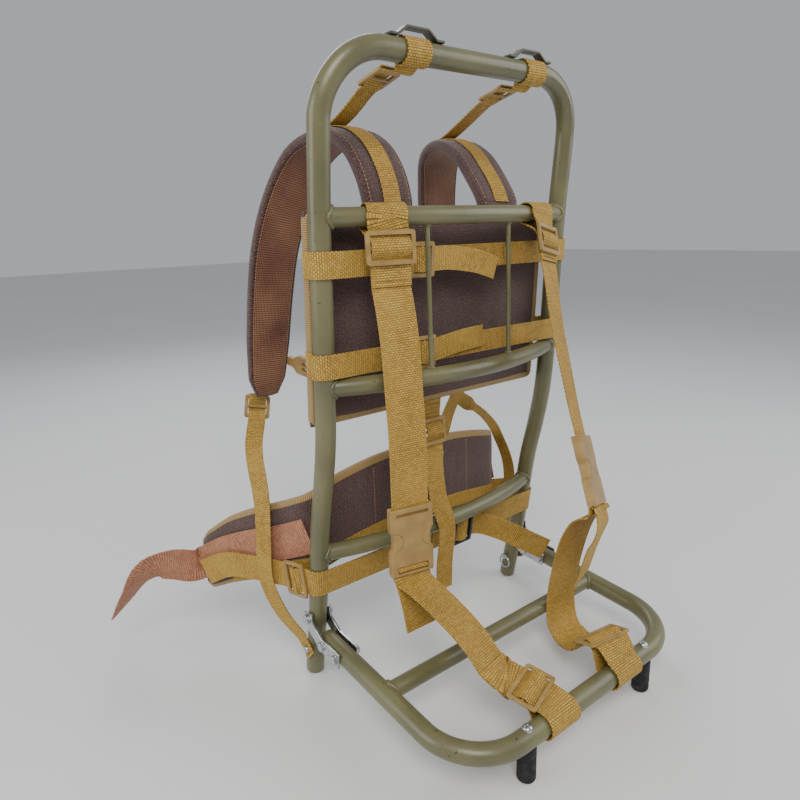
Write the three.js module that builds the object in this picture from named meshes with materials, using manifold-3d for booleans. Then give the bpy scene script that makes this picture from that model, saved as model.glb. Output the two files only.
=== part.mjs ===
// External frame backpack: a welded tube frame with a folding load shelf, its webbing, buckles and pads.
// Millimetres. +Z is up, +Y is the wearer's side and -Y the load side. The frame stands on its two feet
// and the shelf's two legs. "hand" is -1 for the piece at -X, called left, and +1 for the one at +X.

import * as THREE from 'three';
import { mergeVertices } from 'three/addons/utils/BufferGeometryUtils.js';
import Module from 'manifold-3d';

const wasm = await Module();
wasm.setup();

// Driving dimensions: the welded frame
const RAIL_TUBE = 25;
const CROSS_TUBE = 22;
const ROD = 6;
const RAIL_SPACING = 397;
const TOP_HEIGHT = 785;
const HOOP_CORNER = 75;
const FOOT_OFFSET = 85;
const UPPER_BAR_HEIGHT = 615;
const MIDDLE_BAR_HEIGHT = 423;
const LOWER_BAR_HEIGHT = 194;
const UPPER_BOW = 30;
const MIDDLE_BOW = 47;
const LOWER_BOW = 34;
const ROD_SPACING = 138;

// Driving dimensions: the load shelf
const SHELF_REACH = 232;
const SHELF_BACK_GAP = 14;
const SHELF_FRONT_HEIGHT = 53.5;
const SHELF_RISE = 15;
const SHELF_CORNER = 75;
const SHELF_BAR_DISTANCE = 85;
const LEG_SPACING = 226;
const LEG_DIAMETER = 22;
const LEG_HOLD = 6;

// Driving dimensions: hinge plates, bolts and pins
const PLATE_THICKNESS = 3;
const PLATE_WIDTH = 20;
const HINGE_HEIGHT = 96;
const BOLT_DIAMETER = 8;
const RIVET_DIAMETER = 6;
const HEAD_HEIGHT = 4;
const TETHER_HEIGHT = 43;
const TETHER_PIN = 5;
const RING_OUTER = 24;
const RING_WIRE = 3;

// Driving dimensions: webbing and buckles
const WEB = 2;
const LOAD_WEB = 50;
const BAND_WEB = 30;
const LUMBAR_WEB = 38;
const SLIM_WEB = 25;
const LOOP_WEB = 34;
const STRIP = 1.5;
const BUCKLE_THICKNESS = 3.4;
const BUCKLE_BAR = 5;
const BUCKLE_SIDE = 5;
const BUCKLE_PITCH = 14;
const LOAD_BUCKLE_LENGTH = 90;
const LOAD_BUCKLE_WIDTH = 58;
const LOAD_BUCKLE_THICKNESS = 12;
const LOAD_STRAP_PLACE = 128;
const SHELF_STRAP_PLACE = 63;

// Driving dimensions: pads
const PANEL_WIDTH = 392;
const PANEL_HEIGHT = 250;
const PANEL_BOTTOM = 372;
const PANEL_THICKNESS = 18;
const PAD_WIDTH = 70;
const PAD_THICKNESS = 16;
const PAD_PLACE = 93;
const PAD_REACH = 215;
const PAD_DROP = 252;
const PAD_RISE = 92;
const BELT_HEIGHT = 124;
const BELT_THICKNESS = 14;
const BELT_FLAT = 150;
const BELT_WING = 180;
const BELT_PLACE = 235;

const CLEARANCE = 0.3;
const RAIL = RAIL_TUBE / 2;
const CROSS = CROSS_TUBE / 2;
const HALF_SPACING = RAIL_SPACING / 2;
const LAYER = WEB + CLEARANCE;

const X = new THREE.Vector3(1, 0, 0);
const Y = new THREE.Vector3(0, 1, 0);
const Z = new THREE.Vector3(0, 0, 1);
const at = (x, y, z) => new THREE.Vector3(x, y, z);

const finish = (color, roughness, metalness) => (
  new THREE.MeshStandardMaterial({ color, roughness, metalness })
);
const OLIVE_PAINT = finish(0x6f6c4f, 0.4, 0.3);
const DARK_PAINT = finish(0x3b3a2c, 0.5, 0.3);
const ZINC = finish(0xb9bcc0, 0.35, 1);
const RUBBER = finish(0x2a2a30, 0.8, 0);
const WEBBING = finish(0xc09a3a, 0.85, 0);
const BELT_WEBBING = finish(0xb07858, 0.85, 0);
const TAN_PLASTIC = finish(0xb09060, 0.5, 0);
const BLACK_PLASTIC = finish(0x18181a, 0.5, 0);
const OXFORD = finish(0x4a3534, 0.9, 0);

const pack = new THREE.Group();

// Adds one closed body to the pack under its own name.
function addPiece(name, geometry, material) {
  const mesh = new THREE.Mesh(geometry, material);
  mesh.name = name;
  pack.add(mesh);
}

// Joins the corners that faces share, with only their places left.
function weld(geometry) {
  const bare = geometry.index ? geometry.toNonIndexed() : geometry;
  bare.deleteAttribute('normal');
  bare.deleteAttribute('uv');
  return mergeVertices(bare, 1e-4);
}

function toSolid(geometry) {
  const welded = weld(geometry.clone());
  return new wasm.Manifold(new wasm.Mesh({
    numProp: 3,
    vertProperties: new Float32Array(welded.attributes.position.array),
    triVerts: new Uint32Array(welded.index.array),
  }));
}

function toGeometry(solid) {
  const mesh = solid.getMesh();
  const geometry = new THREE.BufferGeometry();
  geometry.setAttribute('position', new THREE.BufferAttribute(new Float32Array(mesh.vertProperties), 3));
  geometry.setIndex(Array.from(mesh.triVerts));
  return geometry;
}

const joined = (...parts) => toGeometry(parts.map(toSolid).reduce((all, part) => all.add(part)));
const cut = (body, ...tools) => toGeometry(
  tools.map(toSolid).reduce((rest, tool) => rest.subtract(tool), toSolid(body)),
);

// Sections, drawn across a route: x runs along the section's side, y along its face normal.
function roundSection(radius) {
  const shape = new THREE.Shape();
  shape.absarc(0, 0, radius, 0, Math.PI * 2);
  return shape;
}

function flatSection(width, thickness) {
  const shape = new THREE.Shape();
  shape.moveTo(-width / 2, -thickness / 2);
  shape.lineTo(width / 2, -thickness / 2);
  shape.lineTo(width / 2, thickness / 2);
  shape.lineTo(-width / 2, thickness / 2);
  shape.closePath();
  return shape;
}

// A pad's section: full in the middle and thin at its two bound edges.
function paddedSection(width, thickness) {
  const edge = thickness * 0.22;
  const shape = new THREE.Shape();
  shape.moveTo(-width / 2, -edge);
  shape.quadraticCurveTo(-width * 0.42, -thickness / 2, -width * 0.26, -thickness / 2);
  shape.lineTo(width * 0.26, -thickness / 2);
  shape.quadraticCurveTo(width * 0.42, -thickness / 2, width / 2, -edge);
  shape.lineTo(width / 2, edge);
  shape.quadraticCurveTo(width * 0.42, thickness / 2, width * 0.26, thickness / 2);
  shape.lineTo(-width * 0.26, thickness / 2);
  shape.quadraticCurveTo(-width * 0.42, thickness / 2, -width / 2, edge);
  shape.closePath();
  return shape;
}

// Gives each point of a route its own axes: along, side and face. "side" is one vector or one a point.
function route(points, side, wide = 1, thick = 1) {
  return points.map((point, i) => {
    const before = points[Math.max(i - 1, 0)];
    const after = points[Math.min(i + 1, points.length - 1)];
    const along = after.clone().sub(before).normalize();
    const given = Array.isArray(side) ? side[i] : side;
    const across = given.clone().addScaledVector(along, -given.dot(along)).normalize();
    const face = along.clone().cross(across);
    return {
      point, along, across, face,
      wide: Array.isArray(wide) ? wide[i] : wide,
      thick: Array.isArray(thick) ? thick[i] : thick,
    };
  });
}

// Sweeps a section along the stations of a route.
function sweep(shape, stations, curveSegments = 3) {
  const steps = stations.length - 1;
  const geometry = new THREE.ExtrudeGeometry(shape, { depth: steps, steps, bevelEnabled: false, curveSegments });
  const place = geometry.attributes.position;
  for (let i = 0; i < place.count; i += 1) {
    const station = stations[Math.round(place.getZ(i))];
    const point = station.point.clone()
      .addScaledVector(station.across, place.getX(i) * station.wide)
      .addScaledVector(station.face, place.getY(i) * station.thick);
    place.setXYZ(i, point.x, point.y, point.z);
  }
  return weld(geometry);
}

// Smooths a few chosen points into a route of "count" points.
const smooth = (points, count) => new THREE.CatmullRomCurve3(points, false, 'centripetal').getPoints(count);

// Adds two smaller stations at each end of a tube, so that its rim is rounded over.
function roundedRim(stations, radius, ends = [true, true]) {
  const rim = radius * 0.3;
  const shrunk = (station, back, size) => ({
    ...station,
    point: station.point.clone().addScaledVector(station.along, back),
    wide: size,
    thick: size,
  });
  const first = stations[0];
  const last = stations[stations.length - 1];
  const start = ends[0]
    ? [shrunk(first, 0, 0.7), shrunk(first, rim * 0.3, 0.9), shrunk(first, rim, 1)]
    : [first];
  const end = ends[1]
    ? [shrunk(last, -rim, 1), shrunk(last, -rim * 0.3, 0.9), shrunk(last, 0, 0.7)]
    : [last];
  return [...start, ...stations.slice(1, -1), ...end];
}

// A round bar between two points.
function bar(from, to, radius, segments = 6) {
  const side = Math.abs(to.clone().sub(from).normalize().z) > 0.9 ? X : Z;
  return sweep(roundSection(radius), route([from, to], side), segments);
}

// A plate cut from an outline in its own x, y plane, centred on its thickness and placed by three axes.
function plate(outline, thickness, origin, xAxis, yAxis, curveSegments = 4) {
  const geometry = new THREE.ExtrudeGeometry(outline, { depth: thickness, bevelEnabled: false, curveSegments });
  geometry.translate(0, 0, -thickness / 2);
  const zAxis = xAxis.clone().cross(yAxis);
  geometry.applyMatrix4(new THREE.Matrix4().makeBasis(xAxis, yAxis, zAxis).setPosition(origin));
  return weld(geometry);
}

// The rails' side profile: how far they lean towards the wearer, as shares of height and foot offset.
const LEAN = [
  { up: 0, lean: 1 },
  { up: 0.15, lean: 0.73 },
  { up: 0.3, lean: 0.51 },
  { up: 0.38, lean: 0.33 },
  { up: 0.457, lean: 0.19 },
  { up: 0.61, lean: 0.085 },
  { up: 0.78, lean: 0 },
  { up: 0.915, lean: -0.12 },
  { up: 1, lean: -0.29 },
];

function railY(height) {
  const share = THREE.MathUtils.clamp(height / TOP_HEIGHT, 0, 1);
  const i = Math.max(1, LEAN.findIndex((row) => row.up >= share));
  const mix = (share - LEAN[i - 1].up) / (LEAN[i].up - LEAN[i - 1].up);
  return THREE.MathUtils.lerp(LEAN[i - 1].lean, LEAN[i].lean, mix) * FOOT_OFFSET;
}

const railPoint = (hand, height) => at(hand * HALF_SPACING, railY(height), height);

// A crossbar bows away from the wearer's back, most at its middle.
function crossPoint(x, height, bow) {
  const share = x / HALF_SPACING;
  return at(x, railY(height) - bow * (1 - share * share), height);
}

// Welded frame: a hoop, three crossbars and two rods in one solid

const STATIONS_PER_CORNER = 5;
// The foot's tilted rim stands this far below its centre.
const FOOT_RISE = RAIL * 0.7 * Math.sin(Math.atan(FOOT_OFFSET * 0.27 / (TOP_HEIGHT * 0.15)));

function hoopPoints() {
  const cornerBase = TOP_HEIGHT - HOOP_CORNER;
  const rise = LEAN.map((row) => row.up * TOP_HEIGHT).filter((height) => height < cornerBase - CLEARANCE);
  rise[0] = FOOT_RISE;
  const points = rise.map((height) => railPoint(-1, height));
  const corner = (hand) => {
    const arc = [];
    for (let i = 0; i <= STATIONS_PER_CORNER; i += 1) {
      const angle = (i / STATIONS_PER_CORNER) * Math.PI / 2;
      const height = cornerBase + HOOP_CORNER * Math.sin(angle);
      const inset = HOOP_CORNER * (1 - Math.cos(angle));
      arc.push(at(hand * (HALF_SPACING - inset), railY(height), height));
    }
    return arc;
  };
  const fall = rise.reverse().map((height) => railPoint(1, height));
  return [...points, ...corner(-1), ...corner(1).reverse(), ...fall];
}

function crossbar(height, bow) {
  const steps = 6;
  const points = [];
  for (let i = 0; i <= steps; i += 1) {
    points.push(crossPoint(HALF_SPACING * (2 * i / steps - 1), height, bow));
  }
  return sweep(roundSection(CROSS), route(points, Z), 5);
}

function rod(hand) {
  const x = hand * ROD_SPACING / 2;
  const top = crossPoint(x, UPPER_BAR_HEIGHT, UPPER_BOW);
  const bottom = crossPoint(x, MIDDLE_BAR_HEIGHT, MIDDLE_BOW);
  return sweep(roundSection(ROD / 2), route([bottom, top], X), 4);
}

const railHole = (hand, height, diameter) => {
  const centre = railPoint(hand, height);
  return bar(centre.clone().addScaledVector(X, -RAIL_TUBE), centre.clone().addScaledVector(X, RAIL_TUBE),
    diameter / 2 + CLEARANCE, 5);
};

const hoop = sweep(roundSection(RAIL), roundedRim(route(hoopPoints(), Y), RAIL), 6);
const welded = joined(
  hoop,
  crossbar(UPPER_BAR_HEIGHT, UPPER_BOW),
  crossbar(MIDDLE_BAR_HEIGHT, MIDDLE_BOW),
  crossbar(LOWER_BAR_HEIGHT, LOWER_BOW),
  rod(-1),
  rod(1),
);
addPiece('frame', cut(
  welded,
  railHole(-1, HINGE_HEIGHT, BOLT_DIAMETER),
  railHole(1, HINGE_HEIGHT, BOLT_DIAMETER),
  railHole(-1, TETHER_HEIGHT, TETHER_PIN),
  railHole(1, TETHER_HEIGHT, TETHER_PIN),
), OLIVE_PAINT);

// Load shelf: a bent U tube with a welded crossbar, folded down in front of the rails

function shelfPoint(x, y) {
  return at(x, y, SHELF_FRONT_HEIGHT + SHELF_RISE * (1 + y / SHELF_REACH));
}

function shelfBack() {
  const reach = SHELF_FRONT_HEIGHT + SHELF_RISE;
  return railY(reach) - RAIL - SHELF_BACK_GAP;
}

function shelfPoints() {
  const arc = (hand) => {
    const points = [];
    for (let i = 0; i <= STATIONS_PER_CORNER; i += 1) {
      const angle = (i / STATIONS_PER_CORNER) * Math.PI / 2;
      const x = HALF_SPACING - SHELF_CORNER * (1 - Math.cos(angle));
      points.push(shelfPoint(hand * x, -SHELF_REACH + SHELF_CORNER * (1 - Math.sin(angle))));
    }
    return points;
  };
  return [
    shelfPoint(-HALF_SPACING, shelfBack()),
    ...arc(-1),
    ...arc(1).reverse(),
    shelfPoint(HALF_SPACING, shelfBack()),
  ];
}

// The outer plates' rivets pass through the shelf's tube at these shares of the plate's arm.
const RIVET_PLACES = [0.34, 0.78];
const PLATE_ARM = 72;
const hingePoint = (hand) => railPoint(hand, HINGE_HEIGHT);
const rivetPoint = (hand, share) => shelfPoint(hand * HALF_SPACING, shelfBack() + RAIL - PLATE_ARM * share);

const shelfHoles = [-1, 1].flatMap((hand) => RIVET_PLACES.map((share) => {
  const centre = rivetPoint(hand, share);
  return bar(centre.clone().addScaledVector(X, -RAIL_TUBE), centre.clone().addScaledVector(X, RAIL_TUBE),
    RIVET_DIAMETER / 2 + CLEARANCE, 4);
}));
const legPoint = (hand) => shelfPoint(hand * LEG_SPACING / 2, -SHELF_REACH);
const legHoles = [-1, 1].map((hand) => bar(legPoint(hand).addScaledVector(Z, -RAIL_TUBE),
  legPoint(hand).addScaledVector(Z, RAIL_TUBE), RIVET_DIAMETER / 2 + CLEARANCE, 4));
const shelfBar = bar(shelfPoint(-HALF_SPACING, -SHELF_BAR_DISTANCE), shelfPoint(HALF_SPACING, -SHELF_BAR_DISTANCE),
  CROSS, 6);
const shelfTube = sweep(roundSection(RAIL), roundedRim(route(shelfPoints(), Z), RAIL), 6);
addPiece('shelf', cut(joined(shelfTube, shelfBar), ...shelfHoles, ...legHoles), OLIVE_PAINT);

// A leg's top is a saddle under the front bar, and a domed bolt holds it through the bar.
function addLeg(hand, sideName) {
  const centre = legPoint(hand);
  const top = at(centre.x, centre.y, centre.z - RAIL + LEG_HOLD);
  const foot = at(centre.x, centre.y, 0);
  const stations = roundedRim(route([foot, top], X), LEG_DIAMETER / 2, [true, false]);
  const post = sweep(roundSection(LEG_DIAMETER / 2), stations, 7);
  const saddle = bar(centre.clone().addScaledVector(X, -LEG_DIAMETER), centre.clone().addScaledVector(X, LEG_DIAMETER),
    RAIL + CLEARANCE, 12);
  const boltTip = centre.z - RAIL - LEG_HOLD;
  const socket = bar(at(centre.x, centre.y, boltTip - CLEARANCE), top.clone().addScaledVector(Z, LEG_HOLD),
    RIVET_DIAMETER / 2 + CLEARANCE, 4);
  addPiece(`shelf_leg_${sideName}`, cut(post, saddle, socket), RUBBER);

  const profile = [
    [0, boltTip], [RIVET_DIAMETER / 2, boltTip], [RIVET_DIAMETER / 2, centre.z + RAIL + CLEARANCE],
    [RIVET_DIAMETER, centre.z + RAIL + CLEARANCE], [RIVET_DIAMETER * 0.8, centre.z + RAIL + HEAD_HEIGHT * 0.7],
    [RIVET_DIAMETER * 0.35, centre.z + RAIL + HEAD_HEIGHT], [0, centre.z + RAIL + HEAD_HEIGHT],
  ].map(([radius, height]) => new THREE.Vector2(radius, height));
  const bolt = new THREE.LatheGeometry(profile, 10);
  bolt.rotateX(Math.PI / 2);
  bolt.translate(centre.x, centre.y, 0);
  addPiece(`leg_bolt_${sideName}`, weld(bolt), ZINC);
}

// Hinge plates sandwich the rail and the shelf's tube; a bolt through the rail is their pivot.

function plateOutline() {
  const half = PLATE_WIDTH / 2;
  const pivot = hingePoint(1);
  const knee = rivetPoint(1, RIVET_PLACES[0]);
  const toe = rivetPoint(1, RIVET_PLACES[1]);
  const spine = [
    new THREE.Vector2(pivot.y, pivot.z + half * 0.9),
    new THREE.Vector2(pivot.y - half * 0.4, pivot.z - half * 0.9),
    new THREE.Vector2(knee.y + half * 0.3, knee.z + half * 0.1),
    new THREE.Vector2(toe.y - half * 0.8, toe.z),
  ];
  const edge = (sign) => spine.map((point, i) => {
    const before = spine[Math.max(i - 1, 0)];
    const after = spine[Math.min(i + 1, spine.length - 1)];
    const along = after.clone().sub(before).normalize();
    return new THREE.Vector2(point.x - sign * along.y * half, point.y + sign * along.x * half);
  });
  return new THREE.Shape([...edge(-1), ...edge(1).reverse()]);
}

function addHinge(hand, sideName) {
  const outerX = hand * (HALF_SPACING + RAIL + CLEARANCE + PLATE_THICKNESS / 2);
  const innerX = hand * (HALF_SPACING - RAIL - CLEARANCE - PLATE_THICKNESS / 2);
  const span = RAIL_TUBE + 2 * PLATE_THICKNESS + 2 * HEAD_HEIGHT;
  const through = (centre, radius, reach, segments) => bar(
    at(centre.x - reach / 2, centre.y, centre.z), at(centre.x + reach / 2, centre.y, centre.z), radius, segments);
  const head = (centre, x, radius) => bar(
    at(x - HEAD_HEIGHT / 2, centre.y, centre.z), at(x + HEAD_HEIGHT / 2, centre.y, centre.z), radius, 5);
  const blank = (x) => plate(plateOutline(), PLATE_THICKNESS, at(x, 0, 0), Y, Z);
  const pivot = hingePoint(hand);
  const pivotHole = through(pivot, BOLT_DIAMETER / 2 + CLEARANCE, span * 2, 5);
  const rivets = RIVET_PLACES.map((share) => rivetPoint(hand, share));
  const rivetHoles = rivets.map((centre) => through(centre, RIVET_DIAMETER / 2 + CLEARANCE, span * 2, 4));
  const innerHead = innerX - hand * (PLATE_THICKNESS / 2 + CLEARANCE + HEAD_HEIGHT / 2);
  const outerHead = outerX + hand * (PLATE_THICKNESS / 2 + HEAD_HEIGHT / 2);
  const rivetSpan = (centre) => bar(at(innerHead, centre.y, centre.z), at(outerHead, centre.y, centre.z),
    RIVET_DIAMETER / 2, 4);

  addPiece(`hinge_plate_${sideName}_inner`, cut(blank(innerX), pivotHole, ...rivetHoles), ZINC);
  addPiece(`hinge_plate_${sideName}_outer`, joined(
    cut(blank(outerX), pivotHole),
    ...rivets.map(rivetSpan),
    ...rivets.map((centre) => head(centre, outerHead - hand * CLEARANCE, RIVET_DIAMETER)),
    ...rivets.map((centre) => head(centre, innerHead, RIVET_DIAMETER)),
  ), ZINC);
  const boltHead = outerX + hand * (PLATE_THICKNESS / 2 + CLEARANCE + HEAD_HEIGHT / 2);
  addPiece(`hinge_bolt_${sideName}`, joined(
    bar(at(innerHead, pivot.y, pivot.z), at(boltHead, pivot.y, pivot.z), BOLT_DIAMETER / 2, 5),
    head(pivot, boltHead, BOLT_DIAMETER * 0.85),
    head(pivot, innerHead, BOLT_DIAMETER * 0.85),
  ), ZINC);
}

// Tether pins pass through the feet: a head outside, where a strap ends, and a split ring inside.

function addTether(hand, sideName) {
  const centre = railPoint(hand, TETHER_HEIGHT);
  const head = centre.x + hand * (RAIL + CLEARANCE + LAYER + CLEARANCE + HEAD_HEIGHT / 2);
  const ringRadius = (RING_OUTER - RING_WIRE) / 2;
  const inner = centre.x - hand * (RAIL + CLEARANCE + RING_WIRE);
  const ring = [];
  const parts = 10;
  for (let i = 0; i <= parts; i += 1) {
    const angle = (i / parts) * Math.PI * 2;
    ring.push(at(inner, centre.y - ringRadius * Math.sin(angle), centre.z - ringRadius * (1 - Math.cos(angle))));
  }
  const half = Math.ceil(parts / 2) + 1;
  const wire = (points) => sweep(roundSection(RING_WIRE / 2), route(points, X), 2);
  addPiece(`tether_pin_${sideName}`, joined(
    bar(at(inner - hand * RING_WIRE, centre.y, centre.z), at(head, centre.y, centre.z), TETHER_PIN / 2, 4),
    bar(at(head - HEAD_HEIGHT / 2, centre.y, centre.z), at(head + HEAD_HEIGHT / 2, centre.y, centre.z),
      TETHER_PIN, 5),
    wire(ring.slice(0, half)),
    wire(ring.slice(half - 2)),
  ), ZINC);
}

// Lashing loops: bent flat strips on the top bar, their feet riveted to it

const LASHING_WIDTH = 12;
const LASHING_STOCK = 3;
const LASHING_LENGTH = 76;
const LASHING_RISE = 9;
const LASHING_PLACES = { left: -79, right: 103 };

function addLashingLoop(centreX, sideName) {
  const low = LASHING_STOCK / 2 + CLEARANCE;
  const rows = [
    { across: -0.5, rise: 0 },
    { across: -0.36, rise: 0 },
    { across: -0.2, rise: 1 },
    { across: 0.2, rise: 1 },
    { across: 0.36, rise: 0 },
    { across: 0.5, rise: 0 },
  ];
  const points = rows.map((row) => at(centreX + row.across * LASHING_LENGTH, railY(TOP_HEIGHT),
    TOP_HEIGHT + RAIL + low + row.rise * LASHING_RISE));
  const ribbon = sweep(flatSection(LASHING_WIDTH, LASHING_STOCK), route(points, Y));
  addPiece(`lashing_loop_${sideName}`, ribbon, DARK_PAINT);
}

// Buckles: one frame with a middle bar serves as glide and as ladder lock, at each webbing's width.

function buckleOutline(webWidth, length) {
  const half = webWidth / 2 + CLEARANCE * 3;
  const outer = half + BUCKLE_SIDE;
  const end = length / 2;
  const corner = Math.min(BUCKLE_SIDE, BUCKLE_BAR) * 0.8;
  const shape = new THREE.Shape();
  shape.moveTo(-outer + corner, -end);
  shape.lineTo(outer - corner, -end);
  shape.quadraticCurveTo(outer, -end, outer, -end + corner);
  shape.lineTo(outer, end - corner);
  shape.quadraticCurveTo(outer, end, outer - corner, end);
  shape.lineTo(-outer + corner, end);
  shape.quadraticCurveTo(-outer, end, -outer, end - corner);
  shape.lineTo(-outer, -end + corner);
  shape.quadraticCurveTo(-outer, -end, -outer + corner, -end);
  const slot = (from, to) => {
    const hole = new THREE.Path();
    hole.moveTo(-half, from);
    hole.lineTo(-half, to);
    hole.lineTo(half, to);
    hole.lineTo(half, from);
    hole.closePath();
    return hole;
  };
  shape.holes.push(slot(-end + BUCKLE_BAR, -BUCKLE_BAR * 0.4), slot(BUCKLE_BAR * 0.4, end - BUCKLE_BAR));
  return shape;
}

const GLIDE_LENGTH = 2 * BUCKLE_PITCH + 2 * BUCKLE_BAR;

// A seat is a buckle's own frame: along the webbing, across it, and its face towards the viewer.
function seat(origin, along, across) {
  const side = across.clone().addScaledVector(along, -across.dot(along)).normalize();
  return { origin, along, side, face: side.clone().cross(along) };
}

const seated = (place, along, height) => place.origin.clone()
  .addScaledVector(place.along, along)
  .addScaledVector(place.face, height);

function addBuckle(name, place, webWidth, material) {
  addPiece(name, plate(buckleOutline(webWidth, GLIDE_LENGTH), BUCKLE_THICKNESS, place.origin, place.side,
    place.along, 3), material);
}

// Webbing woven through a buckle: under its first bar, over the middle one and under the last.
const WEAVE = BUCKLE_THICKNESS / 2 + CLEARANCE * 1.5 + WEB / 2;
const BUCKLE_END = GLIDE_LENGTH / 2 + WEB / 2;
const WEAVE_UNDER = GLIDE_LENGTH / 2 - BUCKLE_BAR - WEB * 0.8;
const WEAVE_OVER = BUCKLE_BAR * 0.4 + WEB * 0.7;
const WEAVE_ROWS = [
  { along: -BUCKLE_END, height: -WEAVE },
  { along: -WEAVE_UNDER, height: -WEAVE },
  { along: -WEAVE_OVER, height: WEAVE },
  { along: WEAVE_OVER, height: WEAVE },
  { along: WEAVE_UNDER, height: -WEAVE },
  { along: BUCKLE_END, height: -WEAVE },
];
const weave = (place) => WEAVE_ROWS.map((row) => seated(place, row.along, row.height));

// Points round a horizontal bar with the given axis: 0 degrees faces the load, 90 is on top.
function turn(centre, axis, radius, fromDegrees, toDegrees, steps) {
  const back = Z.clone().cross(axis).normalize();
  const points = [];
  for (let i = 0; i <= steps; i += 1) {
    const angle = THREE.MathUtils.degToRad(THREE.MathUtils.lerp(fromDegrees, toDegrees, i / steps));
    points.push(centre.clone().addScaledVector(back, -radius * Math.cos(angle))
      .addScaledVector(Z, radius * Math.sin(angle)));
  }
  return points;
}

// Points along a line of stations, lifted off them by one layer of webbing.
const layered = (stations, lift) => (
  stations.map((station) => station.point.clone().addScaledVector(station.face, lift))
);

// Load straps: each hangs from a loop round the upper crossbar, and its glide lies under the bar.

const LOAD_GLIDE_DROP = 34;
const TUCK = 7;
const LOOP_SLANT = 3;
const LOOP_RADIUS = CROSS + CLEARANCE * 5 + WEB / 2 + UPPER_BOW * (LOAD_WEB / 2 / HALF_SPACING) ** 2;

// "down" is a share of the drop from crossbar to buckle, "inward" and "out" of the shelf's reach.
// A side's own "out" is how far its glide stands forward, and "flap" is the webbing end below the glide, mm.
const LOAD_HANG = {
  left: {
    drop: 338,
    out: 0,
    flap: 24,
    side: at(0.98, -0.2, 0),
    rows: [
      { down: 0.25, inward: 0, out: 0.005 },
      { down: 0.38, inward: 0.01, out: 0.027 },
      { down: 0.55, inward: 0.013, out: 0.044 },
      { down: 0.7, inward: 0.017, out: 0.055 },
      { down: 0.85, inward: 0.017, out: 0.06 },
      { down: 1, inward: 0.017, out: 0.06 },
    ],
  },
  right: {
    drop: 278,
    out: 12,
    flap: 10,
    side: at(0.88, 0.47, 0),
    rows: [
      { down: 0.25, inward: 0.03, out: 0.09 },
      { down: 0.46, inward: 0.047, out: 0.156 },
      { down: 0.69, inward: 0.08, out: 0.264 },
      { down: 0.86, inward: 0.11, out: 0.35 },
      { down: 1, inward: 0.134, out: 0.43 },
    ],
  },
};

const loadBarPoint = (hand) => crossPoint(hand * LOAD_STRAP_PLACE, UPPER_BAR_HEIGHT, UPPER_BOW);
const loadBarAxis = (hand) => (
  at(1, 2 * UPPER_BOW * hand * LOAD_STRAP_PLACE / HALF_SPACING ** 2, 0).normalize()
);

function loadHang(hand, sideName) {
  const top = loadBarPoint(hand);
  const front = top.y - LOOP_RADIUS - WEAVE;
  return LOAD_HANG[sideName].rows.map((row) => at(
    top.x - hand * row.inward * SHELF_REACH,
    front - row.out * SHELF_REACH,
    top.z - CROSS - row.down * LOAD_HANG[sideName].drop,
  ));
}

// The buckle hangs in line with the end of its strap.
function loadBuckleSeat(hand, sideName) {
  const hang = loadHang(hand, sideName);
  const end = hang[hang.length - 1];
  const along = hang[hang.length - 2].clone().sub(end).normalize();
  const origin = end.clone().addScaledVector(along, -(LOAD_BUCKLE_LENGTH / 2 - TUCK));
  return seat(origin, along, LOAD_HANG[sideName].side);
}

function addLoadStrap(hand, sideName) {
  const top = loadBarPoint(hand);
  const axis = loadBarAxis(hand);
  const hang = loadHang(hand, sideName);
  const out = LOAD_HANG[sideName].out;
  const origin = at(top.x, top.y - LOOP_RADIUS - WEAVE / 2 - out, top.z - LOAD_GLIDE_DROP);
  const next = hang[0].clone();
  const glideSide = axis.clone().lerp(LOAD_HANG[sideName].side, out > 0 ? 0.45 : 0);
  const along = at(top.x, top.y - LOOP_RADIUS, top.z).sub(next).normalize();
  const glide = seat(origin, along, glideSide);
  const reach = GLIDE_LENGTH / 2 + LOAD_HANG[sideName].flap;
  const flap = [seated(glide, -reach, -WEAVE), ...weave(glide)];
  const loop = turn(top, axis, LOOP_RADIUS, -10, 232, 10);
  loop.forEach((point, i) => {
    point.addScaledVector(axis, LOOP_SLANT * Math.sin(Math.PI * i / (loop.length - 1)));
  });
  const under = [GLIDE_LENGTH * 0.2, -GLIDE_LENGTH / 2, -reach]
    .map((place) => seated(glide, place, -WEAVE - LAYER));
  const line = smooth([...under.slice(1), ...hang], 18);
  const bent = line.slice(line.findIndex((point) => point.z < under[2].z));
  const points = [...flap, ...loop, ...under, ...bent];
  const turned = flap.length + loop.length;
  const sides = points.map((_, i) => {
    if (i < flap.length) return glide.side;
    if (i < turned) return axis;
    const mix = THREE.MathUtils.clamp((i - turned - 2) / (points.length - turned - 4), 0, 1);
    return glide.side.clone().lerp(LOAD_HANG[sideName].side, mix);
  });
  addPiece(`load_strap_${sideName}`, sweep(flatSection(LOAD_WEB, WEB), route(points, sides)), WEBBING);
  addBuckle(`load_glide_${sideName}`, glide, LOAD_WEB, TAN_PLASTIC);
}

// Side release buckle: closed, waisted at its two release buttons, with a webbing pocket at each end

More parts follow.
